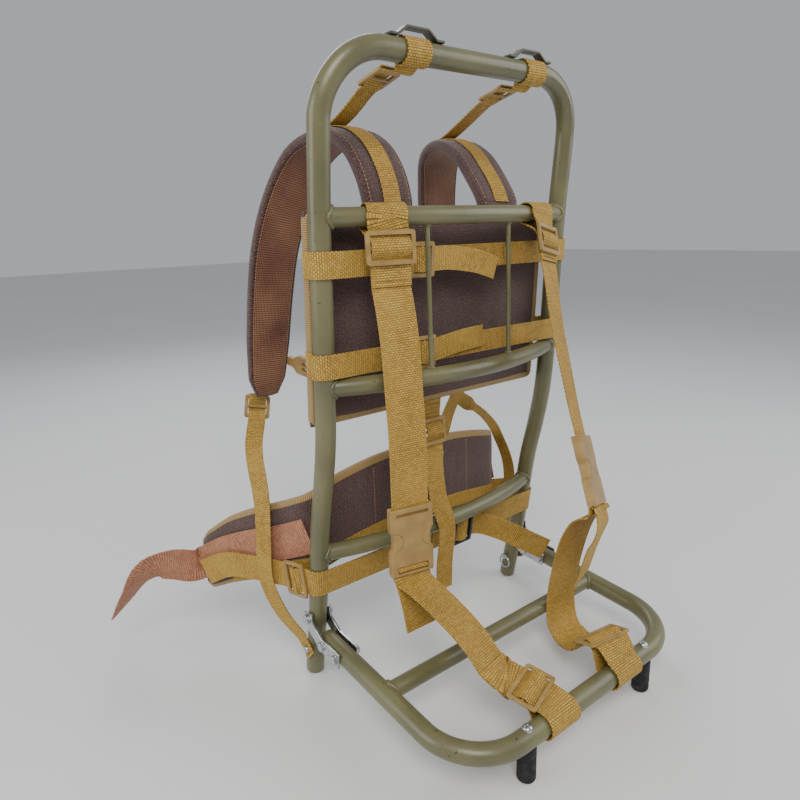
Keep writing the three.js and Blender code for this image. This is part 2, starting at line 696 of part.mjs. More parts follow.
function addLoadBuckle(hand, sideName) {
  const place = loadBuckleSeat(hand, sideName);
  const half = LOAD_BUCKLE_WIDTH / 2;
  const end = LOAD_BUCKLE_LENGTH / 2;
  const outline = new THREE.Shape([
    [-half, -end], [half, -end], [half, -end * 0.28], [half * 0.86, -end * 0.18], [half * 0.86, end * 0.2],
    [half, end * 0.34], [half, end], [-half, end], [-half, end * 0.34], [-half * 0.86, end * 0.2],
    [-half * 0.86, -end * 0.18], [-half, -end * 0.28],
  ].map(([x, y]) => new THREE.Vector2(x, y)));
  const pocketWidth = LOAD_WEB + 8 * CLEARANCE;
  const pocketDepth = TUCK + CLEARANCE;
  const pocket = (share, thickness) => {
    const box = new THREE.BoxGeometry(pocketWidth, 2 * pocketDepth, thickness);
    const basis = new THREE.Matrix4().makeBasis(place.side, place.along, place.face);
    box.applyMatrix4(basis.setPosition(seated(place, share * end, 0)));
    return box;
  };
  const body = plate(outline, LOAD_BUCKLE_THICKNESS, place.origin, place.side, place.along);
  addPiece(`load_buckle_${sideName}`, cut(body, pocket(1, WEB + 4 * CLEARANCE),
    pocket(-1, LOAD_BUCKLE_THICKNESS * 0.66)), TAN_PLASTIC);
}

// Shelf straps: from the buckle's foot down to the front bar, round it and back on itself.
// "outer" is a share of the way between the two strap places, "back" of the shelf's reach,
// and "up" of the buckle foot's height over the bar.

const SHELF_SWEEP = {
  left: [
    { outer: 0.86, back: 0.73, up: 0.86 },
    { outer: 0.67, back: 0.59, up: 0.66 },
    { outer: 0.53, back: 0.48, up: 0.48 },
    { outer: 0.45, back: 0.4, up: 0.33 },
    { outer: 0.415, back: 0.335, up: 0.2 },
    { outer: 0.33, back: 0.26, up: 0.12 },
  ],
  right: [
    { outer: 0.45, back: 0.36, up: 0.85 },
    { outer: 0.53, back: 0.44, up: 0.66 },
    { outer: 0.6, back: 0.5, up: 0.42 },
    { outer: 0.66, back: 0.545, up: 0.165 },
    { outer: 0.66, back: 0.55, up: -0.03 },
    { outer: 0.6, back: 0.51, up: -0.155 },
    { outer: 0.48, back: 0.41, up: -0.2 },
    { outer: 0.3, back: 0.27, up: -0.12 },
  ],
};
const SHELF_TAIL = {
  left: [
    { outer: 0.9, back: 0.75, up: 0.72 },
    { outer: 0.8, back: 0.74, up: 0.34 },
  ],
  right: [
    { outer: 0.42, back: 0.24, up: 0.84 },
    { outer: 0.48, back: 0.3, up: 0.66 },
    { outer: 0.5, back: 0.37, up: 0.36 },
  ],
};
// The glide's place from the front bar, and half the width of the bend inside the buckle's pocket
const SHELF_GLIDE = {
  left: { out: 8, back: 31, rise: 9.5, along: at(-0.3, 0.93, 0.18).normalize() },
  right: { out: 7, back: 33, rise: 13, along: at(0.25, 0.9, -0.35).normalize() },
};
const TURN_RADIUS = (WEB + CLEARANCE * 4) / 2;
const SHELF_LOOP = RAIL + CLEARANCE * 6 + WEB / 2;

// The angles at which a shelf strap meets and leaves the front bar.
const SHELF_WRAP = { from: 210, to: 433 };

function addShelfStrap(hand, sideName) {
  const barPoint = shelfPoint(hand * SHELF_STRAP_PLACE, -SHELF_REACH);
  const place = loadBuckleSeat(hand, sideName);
  const pocketed = (depth, height) => seated(place, -LOAD_BUCKLE_LENGTH / 2 + depth, height);
  const foot = pocketed(0, 0);
  const spot = (row) => at(
    hand * (SHELF_STRAP_PLACE + row.outer * (LOAD_STRAP_PLACE - SHELF_STRAP_PLACE)),
    -SHELF_REACH * (1 - row.back),
    barPoint.z + SHELF_LOOP + row.up * (foot.z - barPoint.z - SHELF_LOOP),
  );
  const tail = smooth([pocketed(-BUCKLE_SIDE, LAYER), ...SHELF_TAIL[sideName].map(spot)], 5).reverse();
  const bend = [
    pocketed(0, TURN_RADIUS),
    pocketed(TUCK - LAYER, TURN_RADIUS),
    pocketed(TUCK - WEB / 2, TURN_RADIUS * 0.5),
    pocketed(TUCK - WEB / 2, -TURN_RADIUS * 0.5),
    pocketed(TUCK - LAYER, -TURN_RADIUS),
    pocketed(0, -TURN_RADIUS),
  ];
  const { out, back, rise, along } = SHELF_GLIDE[sideName];
  const glide = seat(at(barPoint.x + hand * out, barPoint.y + back, barPoint.z + SHELF_LOOP + rise), along, X);
  const under = [BUCKLE_END + BUCKLE_BAR * 1.6, -GLIDE_LENGTH * 0.15]
    .map((share) => seated(glide, share, -WEAVE - LAYER));
  const hang = smooth([
    pocketed(-BUCKLE_SIDE, -TURN_RADIUS),
    pocketed(-BUCKLE_SIDE * 1.6, -TURN_RADIUS * 1.5),
    ...SHELF_SWEEP[sideName].map(spot),
    under[0],
  ], 16);
  const sides = hang.map((_, i) => place.side.clone().lerp(glide.side, THREE.MathUtils.smoothstep(i, 0, 5)));
  const flap = layered(route(hang, sides).slice(-5, -1), LAYER).reverse();
  const loop = turn(barPoint, X, SHELF_LOOP, SHELF_WRAP.from, SHELF_WRAP.to, 10);
  const points = [...tail, ...bend, ...hang, under[1], ...loop, ...weave(glide), ...flap];
  const given = [
    ...tail.map(() => place.side), ...bend.map(() => place.side), ...sides, glide.side, ...loop.map(() => X),
    ...WEAVE_ROWS.map(() => glide.side), ...flap.map(() => glide.side),
  ];
  addPiece(`shelf_strap_${sideName}`, sweep(flatSection(LOAD_WEB, WEB), route(points, given)), WEBBING);
  addBuckle(`shelf_glide_${sideName}`, glide, LOAD_WEB, TAN_PLASTIC);
}

// Horizontal bands: each goes round both rails to the back panel, and is drawn tight at its ladder lock.

const panelCentre = (height) => railY(height) + RAIL + CLEARANCE + PANEL_THICKNESS / 2;
const PANEL_SHIFT = -10;
const panelEdge = (hand) => PANEL_SHIFT + hand * PANEL_WIDTH / 2;

// Points round the outside of a rail in plan, from behind it to its front.
function roundRail(hand, height, radius, fromDegrees) {
  const centre = railPoint(hand, height);
  const steps = 5;
  const points = [];
  for (let i = 0; i <= steps; i += 1) {
    const angle = THREE.MathUtils.degToRad(THREE.MathUtils.lerp(fromDegrees, -90, i / steps));
    points.push(at(centre.x + hand * radius * Math.cos(angle), centre.y + radius * Math.sin(angle), height));
  }
  return points;
}

const BAND_RADIUS = RAIL + CLEARANCE * 2 + WEB / 2;

// A band's lock and tail: where the lock sits, and the tail's rows, mm from the lock along, out and down.
const BANDS = {
  upper: {
    height: 564.5, web: BAND_WEB, lock: -70, plastic: TAN_PLASTIC, hangs: 'panel',
    tail: [
      { along: 45, out: 3, down: 0 },
      { along: 85, out: 8, down: 6 },
      { along: 124, out: 5, down: 17 },
    ],
  },
  lower: {
    height: 450.5, web: BAND_WEB, lock: -64, plastic: TAN_PLASTIC, hangs: 'panel',
    tail: [
      { along: 40, out: 1, down: -3 },
      { along: 70, out: 3, down: -7 },
      { along: 104, out: 1, down: -8 },
    ],
  },
  lumbar: {
    height: 155, web: LUMBAR_WEB, lock: 45, plastic: BLACK_PLASTIC, hangs: 'lock',
    tail: [
      { along: 34, out: 3, down: 2 },
      { along: 55, out: 20, down: 10 },
      { along: 105, out: 78, down: 42 },
    ],
  },
};

const bandFront = (band) => railY(band.height) - BAND_RADIUS;
const lockPlane = (band) => bandFront(band) - LAYER - WEAVE;
// A band stays flat on its rails, so it leans as they do.
const bandWay = (band) => railPoint(1, band.height + band.web / 4)
  .sub(railPoint(1, band.height - band.web / 4))
  .normalize();

function addBand(name) {
  const band = BANDS[name];
  const front = bandFront(band);
  const end = (hand) => {
    if (band.hangs === 'panel') {
      const edge = panelEdge(hand) + hand * (CLEARANCE * 2 + WEB);
      return [
        at(edge, panelCentre(band.height), band.height),
        ...roundRail(hand, band.height, BAND_RADIUS, 60),
      ];
    }
    const lock = sideLock(hand);
    return [
      seated(lock, -BUCKLE_PITCH / 2 - 1, 0),
      seated(lock, -WEAVE_UNDER, -WEAVE),
      seated(lock, -BUCKLE_END, -WEAVE),
      ...roundRail(hand, band.height, BAND_RADIUS, 0),
    ];
  };
  const points = [...end(-1), at(0, front, band.height), ...end(1).reverse()];
  const way = bandWay(band);
  const ways = points.map(() => way);
  if (band.hangs === 'lock') {
    ways.fill(sideLock(-1).side, 0, 3);
    ways.fill(sideLock(1).side.clone().negate(), -3);
  }
  const main = sweep(flatSection(band.web, WEB), route(points, ways));
  const lock = seat(at(band.lock, lockPlane(band), band.height), X, way.clone().negate());
  const tailPoints = [
    at(band.lock - BUCKLE_END - BUCKLE_BAR * 3, front, band.height),
    at(band.lock - BUCKLE_END - BUCKLE_BAR * 2, front, band.height),
    ...weave(lock),
    ...band.tail.map((row) => at(band.lock + row.along, front - LAYER - row.out, band.height - row.down)),
  ];
  const tail = sweep(flatSection(band.web, WEB), route(tailPoints, way));
  addPiece(`${name}_band`, joined(main, tail), WEBBING);
  addBuckle(`${name}_band_lock`, lock, band.web, band.plastic);
}

// Back panel: a padded sheet behind the rails, which follows their lean

function addPanel() {
  const rows = 8;
  const points = [];
  for (let i = 0; i <= rows; i += 1) {
    const height = PANEL_BOTTOM + PANEL_HEIGHT * (i / rows);
    points.push(at(PANEL_SHIFT, panelCentre(height), height));
  }
  const stations = route(points, X);
  stations[0].thick = 0.5;
  stations[rows].thick = 0.5;
  addPiece('back_panel', sweep(paddedSection(PANEL_WIDTH, PANEL_THICKNESS), stations, 2), OXFORD);
}

// Shoulder pads: shares of how far each one reaches, rises and drops from the panel's top edge
const PAD_ROUTE = [
  { outer: 0, reach: 0, rise: 0, wide: 0.96 },
  { outer: 0, reach: 0, rise: 0.1, wide: 0.98 },
  { outer: 0.03, reach: 0.03, rise: 0.45, wide: 1 },
  { outer: 0.08, reach: 0.12, rise: 0.8, wide: 1 },
  { outer: 0.14, reach: 0.27, rise: 0.985, wide: 1 },
  { outer: 0.23, reach: 0.42, rise: 0.95, wide: 1 },
  { outer: 0.38, reach: 0.56, rise: 0.78, wide: 1 },
  { outer: 0.56, reach: 0.68, rise: 0.4, wide: 1 },
  { outer: 0.72, reach: 0.77, drop: 0.03, wide: 1 },
  { outer: 0.83, reach: 0.83, drop: 0.2, wide: 0.98 },
  { outer: 0.9, reach: 0.88, drop: 0.4, wide: 0.96 },
  { outer: 0.96, reach: 0.94, drop: 0.68, wide: 0.92 },
  { outer: 1, reach: 0.98, drop: 0.9, wide: 0.8 },
  { outer: 1.01, reach: 1, drop: 1, wide: 0.5 },
];
const PAD_SPREAD = 72;
// How early each pad swings towards the wearer: 1 keeps the table's reach, less is earlier.
const PAD_SWING = { left: 0.9, right: 0.64 };
const STRIP_LIFT = { left: CLEARANCE * 5, right: CLEARANCE * 2.5 };

function padRoute(hand, sideName) {
  const base = PANEL_BOTTOM + PANEL_HEIGHT + CLEARANCE * 2;
  const points = PAD_ROUTE.map((row) => at(
    hand * (PAD_PLACE + row.outer * PAD_SPREAD),
    panelCentre(base) - 4 + row.reach ** PAD_SWING[sideName] * PAD_REACH,
    base + (row.rise ?? 0) * PAD_RISE - (row.drop ?? 0) * PAD_DROP,
  ));
  const line = smooth(points, 18);
  const widths = line.map((_, i) => {
    const place = (i / (line.length - 1)) * (PAD_ROUTE.length - 1);
    const row = Math.min(Math.floor(place), PAD_ROUTE.length - 2);
    return THREE.MathUtils.lerp(PAD_ROUTE[row].wide, PAD_ROUTE[row + 1].wide, place - row);
  });
  const thicks = widths.map((wide) => 0.45 + 0.55 * Math.min(1, (wide - 0.5) / 0.4));
  return route(line, X.clone().multiplyScalar(hand), widths, thicks);
}

function addShoulderPad(hand, sideName) {
  const stations = padRoute(hand, sideName);
  addPiece(`shoulder_pad_${sideName}`, sweep(paddedSection(PAD_WIDTH, PAD_THICKNESS), stations, 2), OXFORD);
  const outward = stations[5].face.z > 0 ? 1 : -1;
  const lift = PAD_THICKNESS / 2 + STRIP_LIFT[sideName] + STRIP / 2;
  const covered = stations.slice(1, -1);
  const strip = covered.map((station) => ({
    ...station,
    point: station.point.clone().addScaledVector(station.face, outward * lift),
    wide: 1,
    thick: 1,
  }));
  addPiece(`shoulder_strip_${sideName}`, sweep(flatSection(SLIM_WEB, STRIP), strip), WEBBING);
  return { stations, outward };
}

// Load lifters: a loop round the top bar holds a ladder lock, and a strap runs on to the pad's top.

const LIFTER_PLACES = { left: -84, right: 106 };
const LIFTER_LOCK = { back: 55, drop: 17 };
// The loose end follows the pad down at a growing height over it.
const LIFTER_FLAP = [
  { station: 7, lift: 2 }, { station: 8, lift: 3 }, { station: 10, lift: 8 }, { station: 12, lift: 15 },
  { station: 13, lift: 19 },
];

function addLifter(hand, sideName, pad) {
  const barPoint = at(LIFTER_PLACES[sideName], railY(TOP_HEIGHT), TOP_HEIGHT);
  const radius = RAIL + CLEARANCE * 2 + WEB / 2;
  const above = (index, lift) => pad.stations[index].point.clone().addScaledVector(pad.stations[index].face,
    pad.outward * (PAD_THICKNESS / 2 + STRIP + CLEARANCE * 4 + WEB / 2 + lift));
  const landing = above(6, WEB * 1.3);
  const origin = at(LIFTER_PLACES[sideName] * 0.75 + landing.x * 0.25, barPoint.y + LIFTER_LOCK.back,
    TOP_HEIGHT - LIFTER_LOCK.drop);
  const along = landing.clone().sub(origin).normalize().lerp(Y, 0.5).normalize();
  const lock = seat(origin, along, X);
  const loopEnd = seated(lock, -GLIDE_LENGTH / 2 - CLEARANCE * 3.2, 0);
  const loop = turn(barPoint, X, radius, 200, -130, 10);
  const toLock = smooth([
    loop[loop.length - 1],
    at(barPoint.x, barPoint.y + radius * 1.2, barPoint.z - radius * 1.25),
    loopEnd,
  ], 4).slice(1);
  addPiece(`lifter_loop_${sideName}`, sweep(flatSection(LOOP_WEB, WEB), route([...loop, ...toLock], X,
    [...loop.map(() => 1), 0.85, 0.78, 0.76, 0.74])), WEBBING);
  addBuckle(`lifter_lock_${sideName}`, lock, SLIM_WEB, TAN_PLASTIC);

  const points = [
    seated(lock, -BUCKLE_END, WEAVE + 1),
    ...weave(lock).slice(2),
    ...smooth([
      seated(lock, BUCKLE_END + BUCKLE_BAR, -WEAVE),
      landing,
      ...LIFTER_FLAP.map((row) => above(row.station, row.lift)),
    ], 10),
  ];
  addPiece(`load_lifter_${sideName}`, sweep(flatSection(SLIM_WEB, WEB), route(points, X)), WEBBING);
}

// Adjuster straps: from a ladder lock at each pad's lower end down to the tether pin at the foot

const ADJUSTER_ROWS = {
  left: [
    { outer: 0.95, forward: 0.7, up: 0.85 },
    { outer: 1.6, forward: 0.33, up: 0.68 },
    { outer: 1.78, forward: 0.285, up: 0.48 },
    { outer: 1.8, forward: 0.285, up: 0.315 },
    { outer: 1.45, forward: 0.21, up: 0.15 },
  ],
  right: [
    { outer: -0.27, forward: 0.52, up: 0.88 },
    { outer: -0.03, forward: 0.38, up: 0.84 },
    { outer: 0.27, forward: 0.23, up: 0.77 },
    { outer: 0.49, forward: 0.134, up: 0.66 },
    { outer: 0.7, forward: 0.08, up: 0.55 },
    { outer: 0.77, forward: 0.06, up: 0.41 },
    { outer: 0.79, forward: 0.065, up: 0.28 },
    { outer: 0.9, forward: 0.1, up: 0.17 },
  ],
};
// An adjuster's flat direction where it passes the belt, and where it comes from as it reaches its pin.
const ADJUSTER_SIDES = { left: at(-0.44, 0.9, 0), right: at(0, 1, 0) };
const ADJUSTER_ENDS = { left: at(0, 0.75, 0.66), right: at(0, 0.42, 0.91) };

function addAdjuster(hand, sideName, pad) {
  const padEnd = pad.stations[pad.stations.length - 1];
  const rail = railPoint(hand, TETHER_HEIGHT);
  const pinX = rail.x + hand * (RAIL + CLEARANCE + LAYER / 2);
  const lockOrigin = padEnd.point.clone().add(at(hand * 10, 16, -GLIDE_LENGTH / 2 - 2));
  const spot = (row) => at(
    THREE.MathUtils.lerp(lockOrigin.x, pinX, row.outer),
    THREE.MathUtils.lerp(rail.y, lockOrigin.y, row.forward),
    THREE.MathUtils.lerp(TETHER_HEIGHT, lockOrigin.z, row.up),
  );
  const rows = ADJUSTER_ROWS[sideName].map(spot);
  const lockAlong = Z.clone().lerp(lockOrigin.clone().sub(rows[0]).normalize(), 0.85).normalize();
  const lock = seat(lockOrigin, lockAlong, at(-1, 0.25, 0));
  const eye = at(pinX, rail.y, TETHER_HEIGHT);
  const coming = ADJUSTER_ENDS[sideName];
  const flat = eye.clone().addScaledVector(coming, SLIM_WEB * 0.7);
  const line = smooth([seated(lock, -BUCKLE_END - BUCKLE_BAR, -WEAVE), ...rows, flat], 14);
  const end = [0.45, 0, -0.45].map((share) => eye.clone().addScaledVector(coming, share * SLIM_WEB));
  const points = [...weave(lock).reverse(), ...line, ...end];
  const endSide = coming.clone().cross(X);
  const sides = points.map((_, i) => {
    const share = i / (points.length - end.length);
    const passing = lock.side.clone()
      .lerp(ADJUSTER_SIDES[sideName], THREE.MathUtils.smoothstep(share, 0.3, 0.45));
    return passing.lerp(endSide, THREE.MathUtils.smoothstep(share, 0.8, 0.97));
  });
  const ribbon = sweep(flatSection(SLIM_WEB, WEB), route(points, sides));
  const hole = bar(at(pinX - LAYER * 2, rail.y, TETHER_HEIGHT), at(pinX + LAYER * 2, rail.y, TETHER_HEIGHT),
    TETHER_PIN / 2 + CLEARANCE, 4);
  addPiece(`adjuster_strap_${sideName}`, cut(ribbon, hole), WEBBING);
  addBuckle(`adjuster_lock_${sideName}`, lock, SLIM_WEB, TAN_PLASTIC);
}

// Sternum clips: half of a small buckle on each pad's inner face, on a short tab of webbing

const CLIP_LENGTH = 42;
const CLIP_WIDTH = 28;
const CLIP_THICKNESS = 8;

function addSternumClip(hand, sideName, pad) {
  const station = pad.stations[16];
  const edge = station.point.clone().addScaledVector(X, -hand * (PAD_WIDTH / 2 * station.wide + WEB));
  const along = at(-hand * 0.35, -0.9, -0.25).normalize();
  const origin = edge.clone().addScaledVector(along, CLIP_LENGTH / 2 + 3);
  const place = seat(origin, along, at(0, 0.3, -1));
  const half = CLIP_WIDTH / 2;
  const end = CLIP_LENGTH / 2;
  const outline = new THREE.Shape([
    [-half * 0.45, -end], [half * 0.45, -end], [half * 0.5, -end * 0.45], [half, -end * 0.1], [half, end],
    [half * 0.55, end], [half * 0.45, end * 0.35], [half * 0.12, end * 0.35], [half * 0.12, end * 0.8],
    [-half * 0.12, end * 0.8], [-half * 0.12, end * 0.35], [-half * 0.45, end * 0.35], [-half * 0.55, end],
    [-half, end], [-half, -end * 0.1], [-half * 0.5, -end * 0.45],
  ].map(([x, y]) => new THREE.Vector2(x, y)));
  addPiece(`sternum_clip_${sideName}`, plate(outline, CLIP_THICKNESS, place.origin, place.side, place.along),
    TAN_PLASTIC);
}

// Hip belt: shares of the flat half width and of the wing's length, from the left tip to the right tip
const BELT_ROWS = [
  { flat: -1, wingX: -0.71, wingY: 0.98, drop: 0.8, high: 0.58 },
  { flat: -1, wingX: -0.68, wingY: 0.92, drop: 0.76, high: 0.74 },
  { flat: -1, wingX: -0.578, wingY: 0.7, drop: 0.57, high: 0.83 },
  { flat: -1, wingX: -0.45, wingY: 0.45, drop: 0.42, high: 0.88 },
  { flat: -1, wingX: -0.32, wingY: 0.21, drop: 0.3, high: 0.91 },
  { flat: -1, wingX: -0.22, wingY: 0.05, drop: 0.2, high: 0.94 },
  { flat: -1, wingX: 0, wingY: 0, drop: 0.08, high: 0.98 },
  { flat: -0.5, wingX: 0, wingY: 0, drop: 0, high: 1 },
  { flat: 0.4, wingX: 0, wingY: 0, drop: 0, high: 1 },
  { flat: 0.9, wingX: 0, wingY: 0.02, drop: 0.08, high: 0.95 },
  { flat: 1, wingX: 0.05, wingY: 0.14, drop: 0.16, high: 0.93 },
  { flat: 1, wingX: 0.14, wingY: 0.36, drop: 0.32, high: 0.9 },
  { flat: 1, wingX: 0.23, wingY: 0.62, drop: 0.52, high: 0.86 },
  { flat: 1, wingX: 0.29, wingY: 0.88, drop: 0.72, high: 0.76 },
  { flat: 1, wingX: 0.3, wingY: 0.97, drop: 0.78, high: 0.58 },
];
const BELT_WING_DROP = 130;

const beltY = railY(BELT_PLACE - BELT_HEIGHT / 2) + RAIL + CLEARANCE * 2 + BELT_THICKNESS / 2;

const beltPoint = (row) => at(
  row.flat * BELT_FLAT + row.wingX * BELT_WING,
  beltY + row.wingY * BELT_WING,
  BELT_PLACE - row.drop * BELT_WING_DROP,
);

// Widths run across the belt, so the belt leans a little as its wings drop.
function beltRoute(rows) {
  const points = rows.map(beltPoint);
  const flatWay = (point) => at(point.x, point.y, 0);
  const thicks = rows.map((row) => (row.high < 0.7 ? 0.55 : 1));
  const stations = route(points, Z, rows.map((row) => row.high), thicks);
  stations.forEach((station, i) => {
    const before = flatWay(points[Math.max(i - 1, 0)]);
    const after = flatWay(points[Math.min(i + 1, points.length - 1)]);
    const along = after.sub(before).normalize();
    station.across = Z.clone();
    station.face = along.cross(Z);
  });
  return stations;
}

const BELT_SKIN = BELT_THICKNESS / 2 + CLEARANCE + WEB / 2;

function addBelt() {
  addPiece('hip_belt', sweep(paddedSection(BELT_HEIGHT, BELT_THICKNESS), beltRoute(BELT_ROWS), 2), OXFORD);
}

// Belt webbing: sewn on each wing's outer face, with a loose end that runs on past the wing's tip
const BELT_WEB_ENDS = {
  left: [
    { outer: -0.07, forward: 0.0, drop: 0.0, lean: 0 },
    { outer: -0.22, forward: 0.04, drop: -0.05, lean: -0.1 },
    { outer: -0.38, forward: 0.1, drop: -0.04, lean: -0.35 },
    { outer: -0.5, forward: 0.2, drop: 0.12, lean: -0.75 },
    { outer: -0.6, forward: 0.32, drop: 0.34, lean: -1 },
  ],
  right: [
    { outer: 0, forward: 0.1, drop: 0.06, lean: 0 },
    { outer: -0.04, forward: 0.28, drop: 0.2, lean: 0 },
    { outer: -0.12, forward: 0.44, drop: 0.34, lean: 0 },
  ],
};

function addBeltWeb(hand, sideName) {
  const rows = hand < 0 ? BELT_ROWS.slice(0, 6) : BELT_ROWS.slice(-5).reverse();
  const stations = beltRoute(rows);
  const outside = stations[2].face.x * hand > 0 ? 1 : -1;
  const sewn = stations.map((station) => station.point.clone()
    .addScaledVector(station.face, outside * (BELT_SKIN + CLEARANCE * (hand < 0 ? 5 : 1))));
  const tip = sewn[0];
  const loose = BELT_WEB_ENDS[sideName].map((row) => ({
    point: tip.clone().add(at(row.outer * BELT_WING, row.forward * BELT_WING, -row.drop * BELT_WING)),
    side: at(row.lean * 0.5, row.lean * 0.8, 1 - Math.abs(row.lean) * 0.7),
  }));
  const points = [...sewn.reverse(), ...loose.map((row) => row.point)];
  const sides = [...stations.map(() => Z), ...loose.map((row) => row.side)];
  addPiece(`belt_web_${sideName}`, sweep(flatSection(LOAD_WEB, WEB), route(points, sides)), BELT_WEBBING);
}

// Side straps: from a lock beside each rail, out along the wing; the front layer's end is loose

const SIDE_LOCK_FORWARD = 24;

function sideRoute(hand) {
  const rows = hand < 0 ? BELT_ROWS.slice(0, 6) : BELT_ROWS.slice(-6).reverse();
  const stations = beltRoute(rows);
  const outside = stations[2].face.x * hand > 0 ? 1 : -1;
  const skin = BELT_SKIN + CLEARANCE * 4 + 3 * LAYER;
  return [1, 2, 3].map((i) => stations[i].point.clone().addScaledVector(stations[i].face, outside * skin));
}

function sideLock(hand) {
  const rail = railPoint(hand, BANDS.lumbar.height);
  const way = bandWay(BANDS.lumbar);
  const x = rail.x + hand * (BAND_RADIUS + WEAVE);
  const forward = at(hand * 0.22, 1, -0.1).normalize();
  const across = way.clone().multiplyScalar(-hand);
  return seat(at(x, rail.y, rail.z).addScaledVector(forward, SIDE_LOCK_FORWARD), forward, across);
}

function addSideStrap(hand, sideName) {
  const lock = sideLock(hand);
  const [tip, middle, near] = sideRoute(hand);
  const height = lock.origin.z;
  const points = [
    ...weave(lock).slice(2),
    ...smooth([
      seated(lock, BUCKLE_END + BUCKLE_BAR, -WEAVE),
      at(near.x, near.y, height - 3),
      at(middle.x, middle.y, height - 8),
      at(tip.x, tip.y, tip.z - 14),
    ], 8),
  ];
  const sides = points.map((_, i) => (i < 5 ? lock.side : Z.clone().multiplyScalar(-hand)));
  addPiece(`side_strap_${sideName}`, sweep(flatSection(LUMBAR_WEB, WEB), route(points, sides)), WEBBING);
  addBuckle(`side_lock_${sideName}`, lock, LUMBAR_WEB, TAN_PLASTIC);
}

// Centre strap: from the panel's lower edge through a glide and down in front of the lower crossbar
const CENTRE_PLACE = -14;
const HANGER_PLACE = 36;
const CENTRE_ROWS = [
  { x: -22, out: 14, height: 0.79 },
  { x: -32, out: 33, height: 0.65 },
  { x: -20, out: 38, height: 0.516 },
  { x: -24, out: 36, height: 0.38 },
  { x: -25, out: 35, height: 0.26 },
];

function addCentreStrap() {
  const top = PANEL_BOTTOM - CLEARANCE * 2;
  const panelY = panelCentre(PANEL_BOTTOM);
  const glide = seat(at(CENTRE_PLACE, panelY - 6, top - 45), at(0, 0.1, 1).normalize(), X);
  const points = [
    at(CENTRE_PLACE, panelY - PANEL_THICKNESS * 0.2, top),
    ...weave(glide).reverse(),
    ...smooth([seated(glide, -BUCKLE_END - BUCKLE_BAR, -WEAVE),
      ...CENTRE_ROWS.map((row) => at(row.x, panelY - row.out, row.height * PANEL_BOTTOM))], 12),
  ];
  addPiece('centre_strap', sweep(flatSection(BAND_WEB, WEB), route(points, X)), WEBBING);
  addBuckle('centre_glide', glide, BAND_WEB, TAN_PLASTIC);

  const beltTop = BELT_PLACE + BELT_HEIGHT / 2;
  const hanger = [
    at(HANGER_PLACE, panelY - CLEARANCE, top - CLEARANCE * 2),
    at(HANGER_PLACE + 2, (panelY + beltY) / 2 + 4, (top + beltTop) / 2),
    at(HANGER_PLACE + 3, beltY, beltTop + CLEARANCE * 2),
  ];
  addPiece('belt_hanger', sweep(flatSection(SLIM_WEB, WEB), route(hanger, X)), WEBBING);
}

for (const [hand, sideName] of [[-1, 'left'], [1, 'right']]) {
  addLeg(hand, sideName);
  addHinge(hand, sideName);
  addTether(hand, sideName);
  addLashingLoop(LASHING_PLACES[sideName], sideName);
  addLoadStrap(hand, sideName);
  addLoadBuckle(hand, sideName);
  addShelfStrap(hand, sideName);
  const pad = addShoulderPad(hand, sideName);
  addLifter(hand, sideName, pad);
  addAdjuster(hand, sideName, pad);
  addSternumClip(hand, sideName, pad);
  addBeltWeb(hand, sideName);
  addSideStrap(hand, sideName);
}
addBand('upper');
addBand('lower');
addBand('lumbar');
addPanel();
addBelt();
addCentreStrap();

// The origin is the middle of the box that the pack fills, on the floor.
const box = new THREE.Box3().setFromObject(pack);
const middle = box.getCenter(new THREE.Vector3());
pack.position.set(-middle.x, -middle.y, -box.min.z);

export default pack;
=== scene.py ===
"""External frame backpack: the looks of its tubes, webbing, buckles and pads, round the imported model.

Shapes are worked out in millimetres on the source's own axes: +Z up, +Y the wearer's side, -X left.
finished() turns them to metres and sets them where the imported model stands.
"""

import math
from functools import partial

import bmesh
import bpy
from mathutils import Matrix, Vector


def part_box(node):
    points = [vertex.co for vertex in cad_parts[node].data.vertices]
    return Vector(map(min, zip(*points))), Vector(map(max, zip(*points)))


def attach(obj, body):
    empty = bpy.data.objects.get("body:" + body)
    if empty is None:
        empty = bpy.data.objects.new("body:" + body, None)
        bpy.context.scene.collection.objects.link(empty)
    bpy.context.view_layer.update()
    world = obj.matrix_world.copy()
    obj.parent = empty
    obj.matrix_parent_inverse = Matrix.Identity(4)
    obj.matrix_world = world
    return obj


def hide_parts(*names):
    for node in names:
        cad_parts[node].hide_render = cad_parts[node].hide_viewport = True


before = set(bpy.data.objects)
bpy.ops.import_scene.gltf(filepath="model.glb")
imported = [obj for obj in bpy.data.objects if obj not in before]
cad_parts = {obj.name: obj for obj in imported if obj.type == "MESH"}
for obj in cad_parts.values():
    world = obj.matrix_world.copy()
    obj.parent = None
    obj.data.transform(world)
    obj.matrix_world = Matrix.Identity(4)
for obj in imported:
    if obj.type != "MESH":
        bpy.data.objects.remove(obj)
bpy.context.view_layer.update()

MM = 0.001
X, Y, Z = Vector((1, 0, 0)), Vector((0, 1, 0)), Vector((0, 0, 1))

# The welded frame and the load shelf, mm: radii of the tubes and rods, then places and corners
RAIL, CROSS, ROD = 12.5, 11.0, 3.0
ROD_PLACE = 69.0
HALF_SPACING, TOP, HOOP_CORNER, FOOT_OFFSET = 198.5, 785.0, 75.0, 85.0
# Up a rail: the height as a share of TOP, and its lean to the wearer as a share of FOOT_OFFSET
LEAN = [(0, 1), (0.15, 0.73), (0.3, 0.51), (0.38, 0.33), (0.457, 0.19), (0.61, 0.085), (0.78, 0),
        (0.915, -0.12), (1, -0.29)]
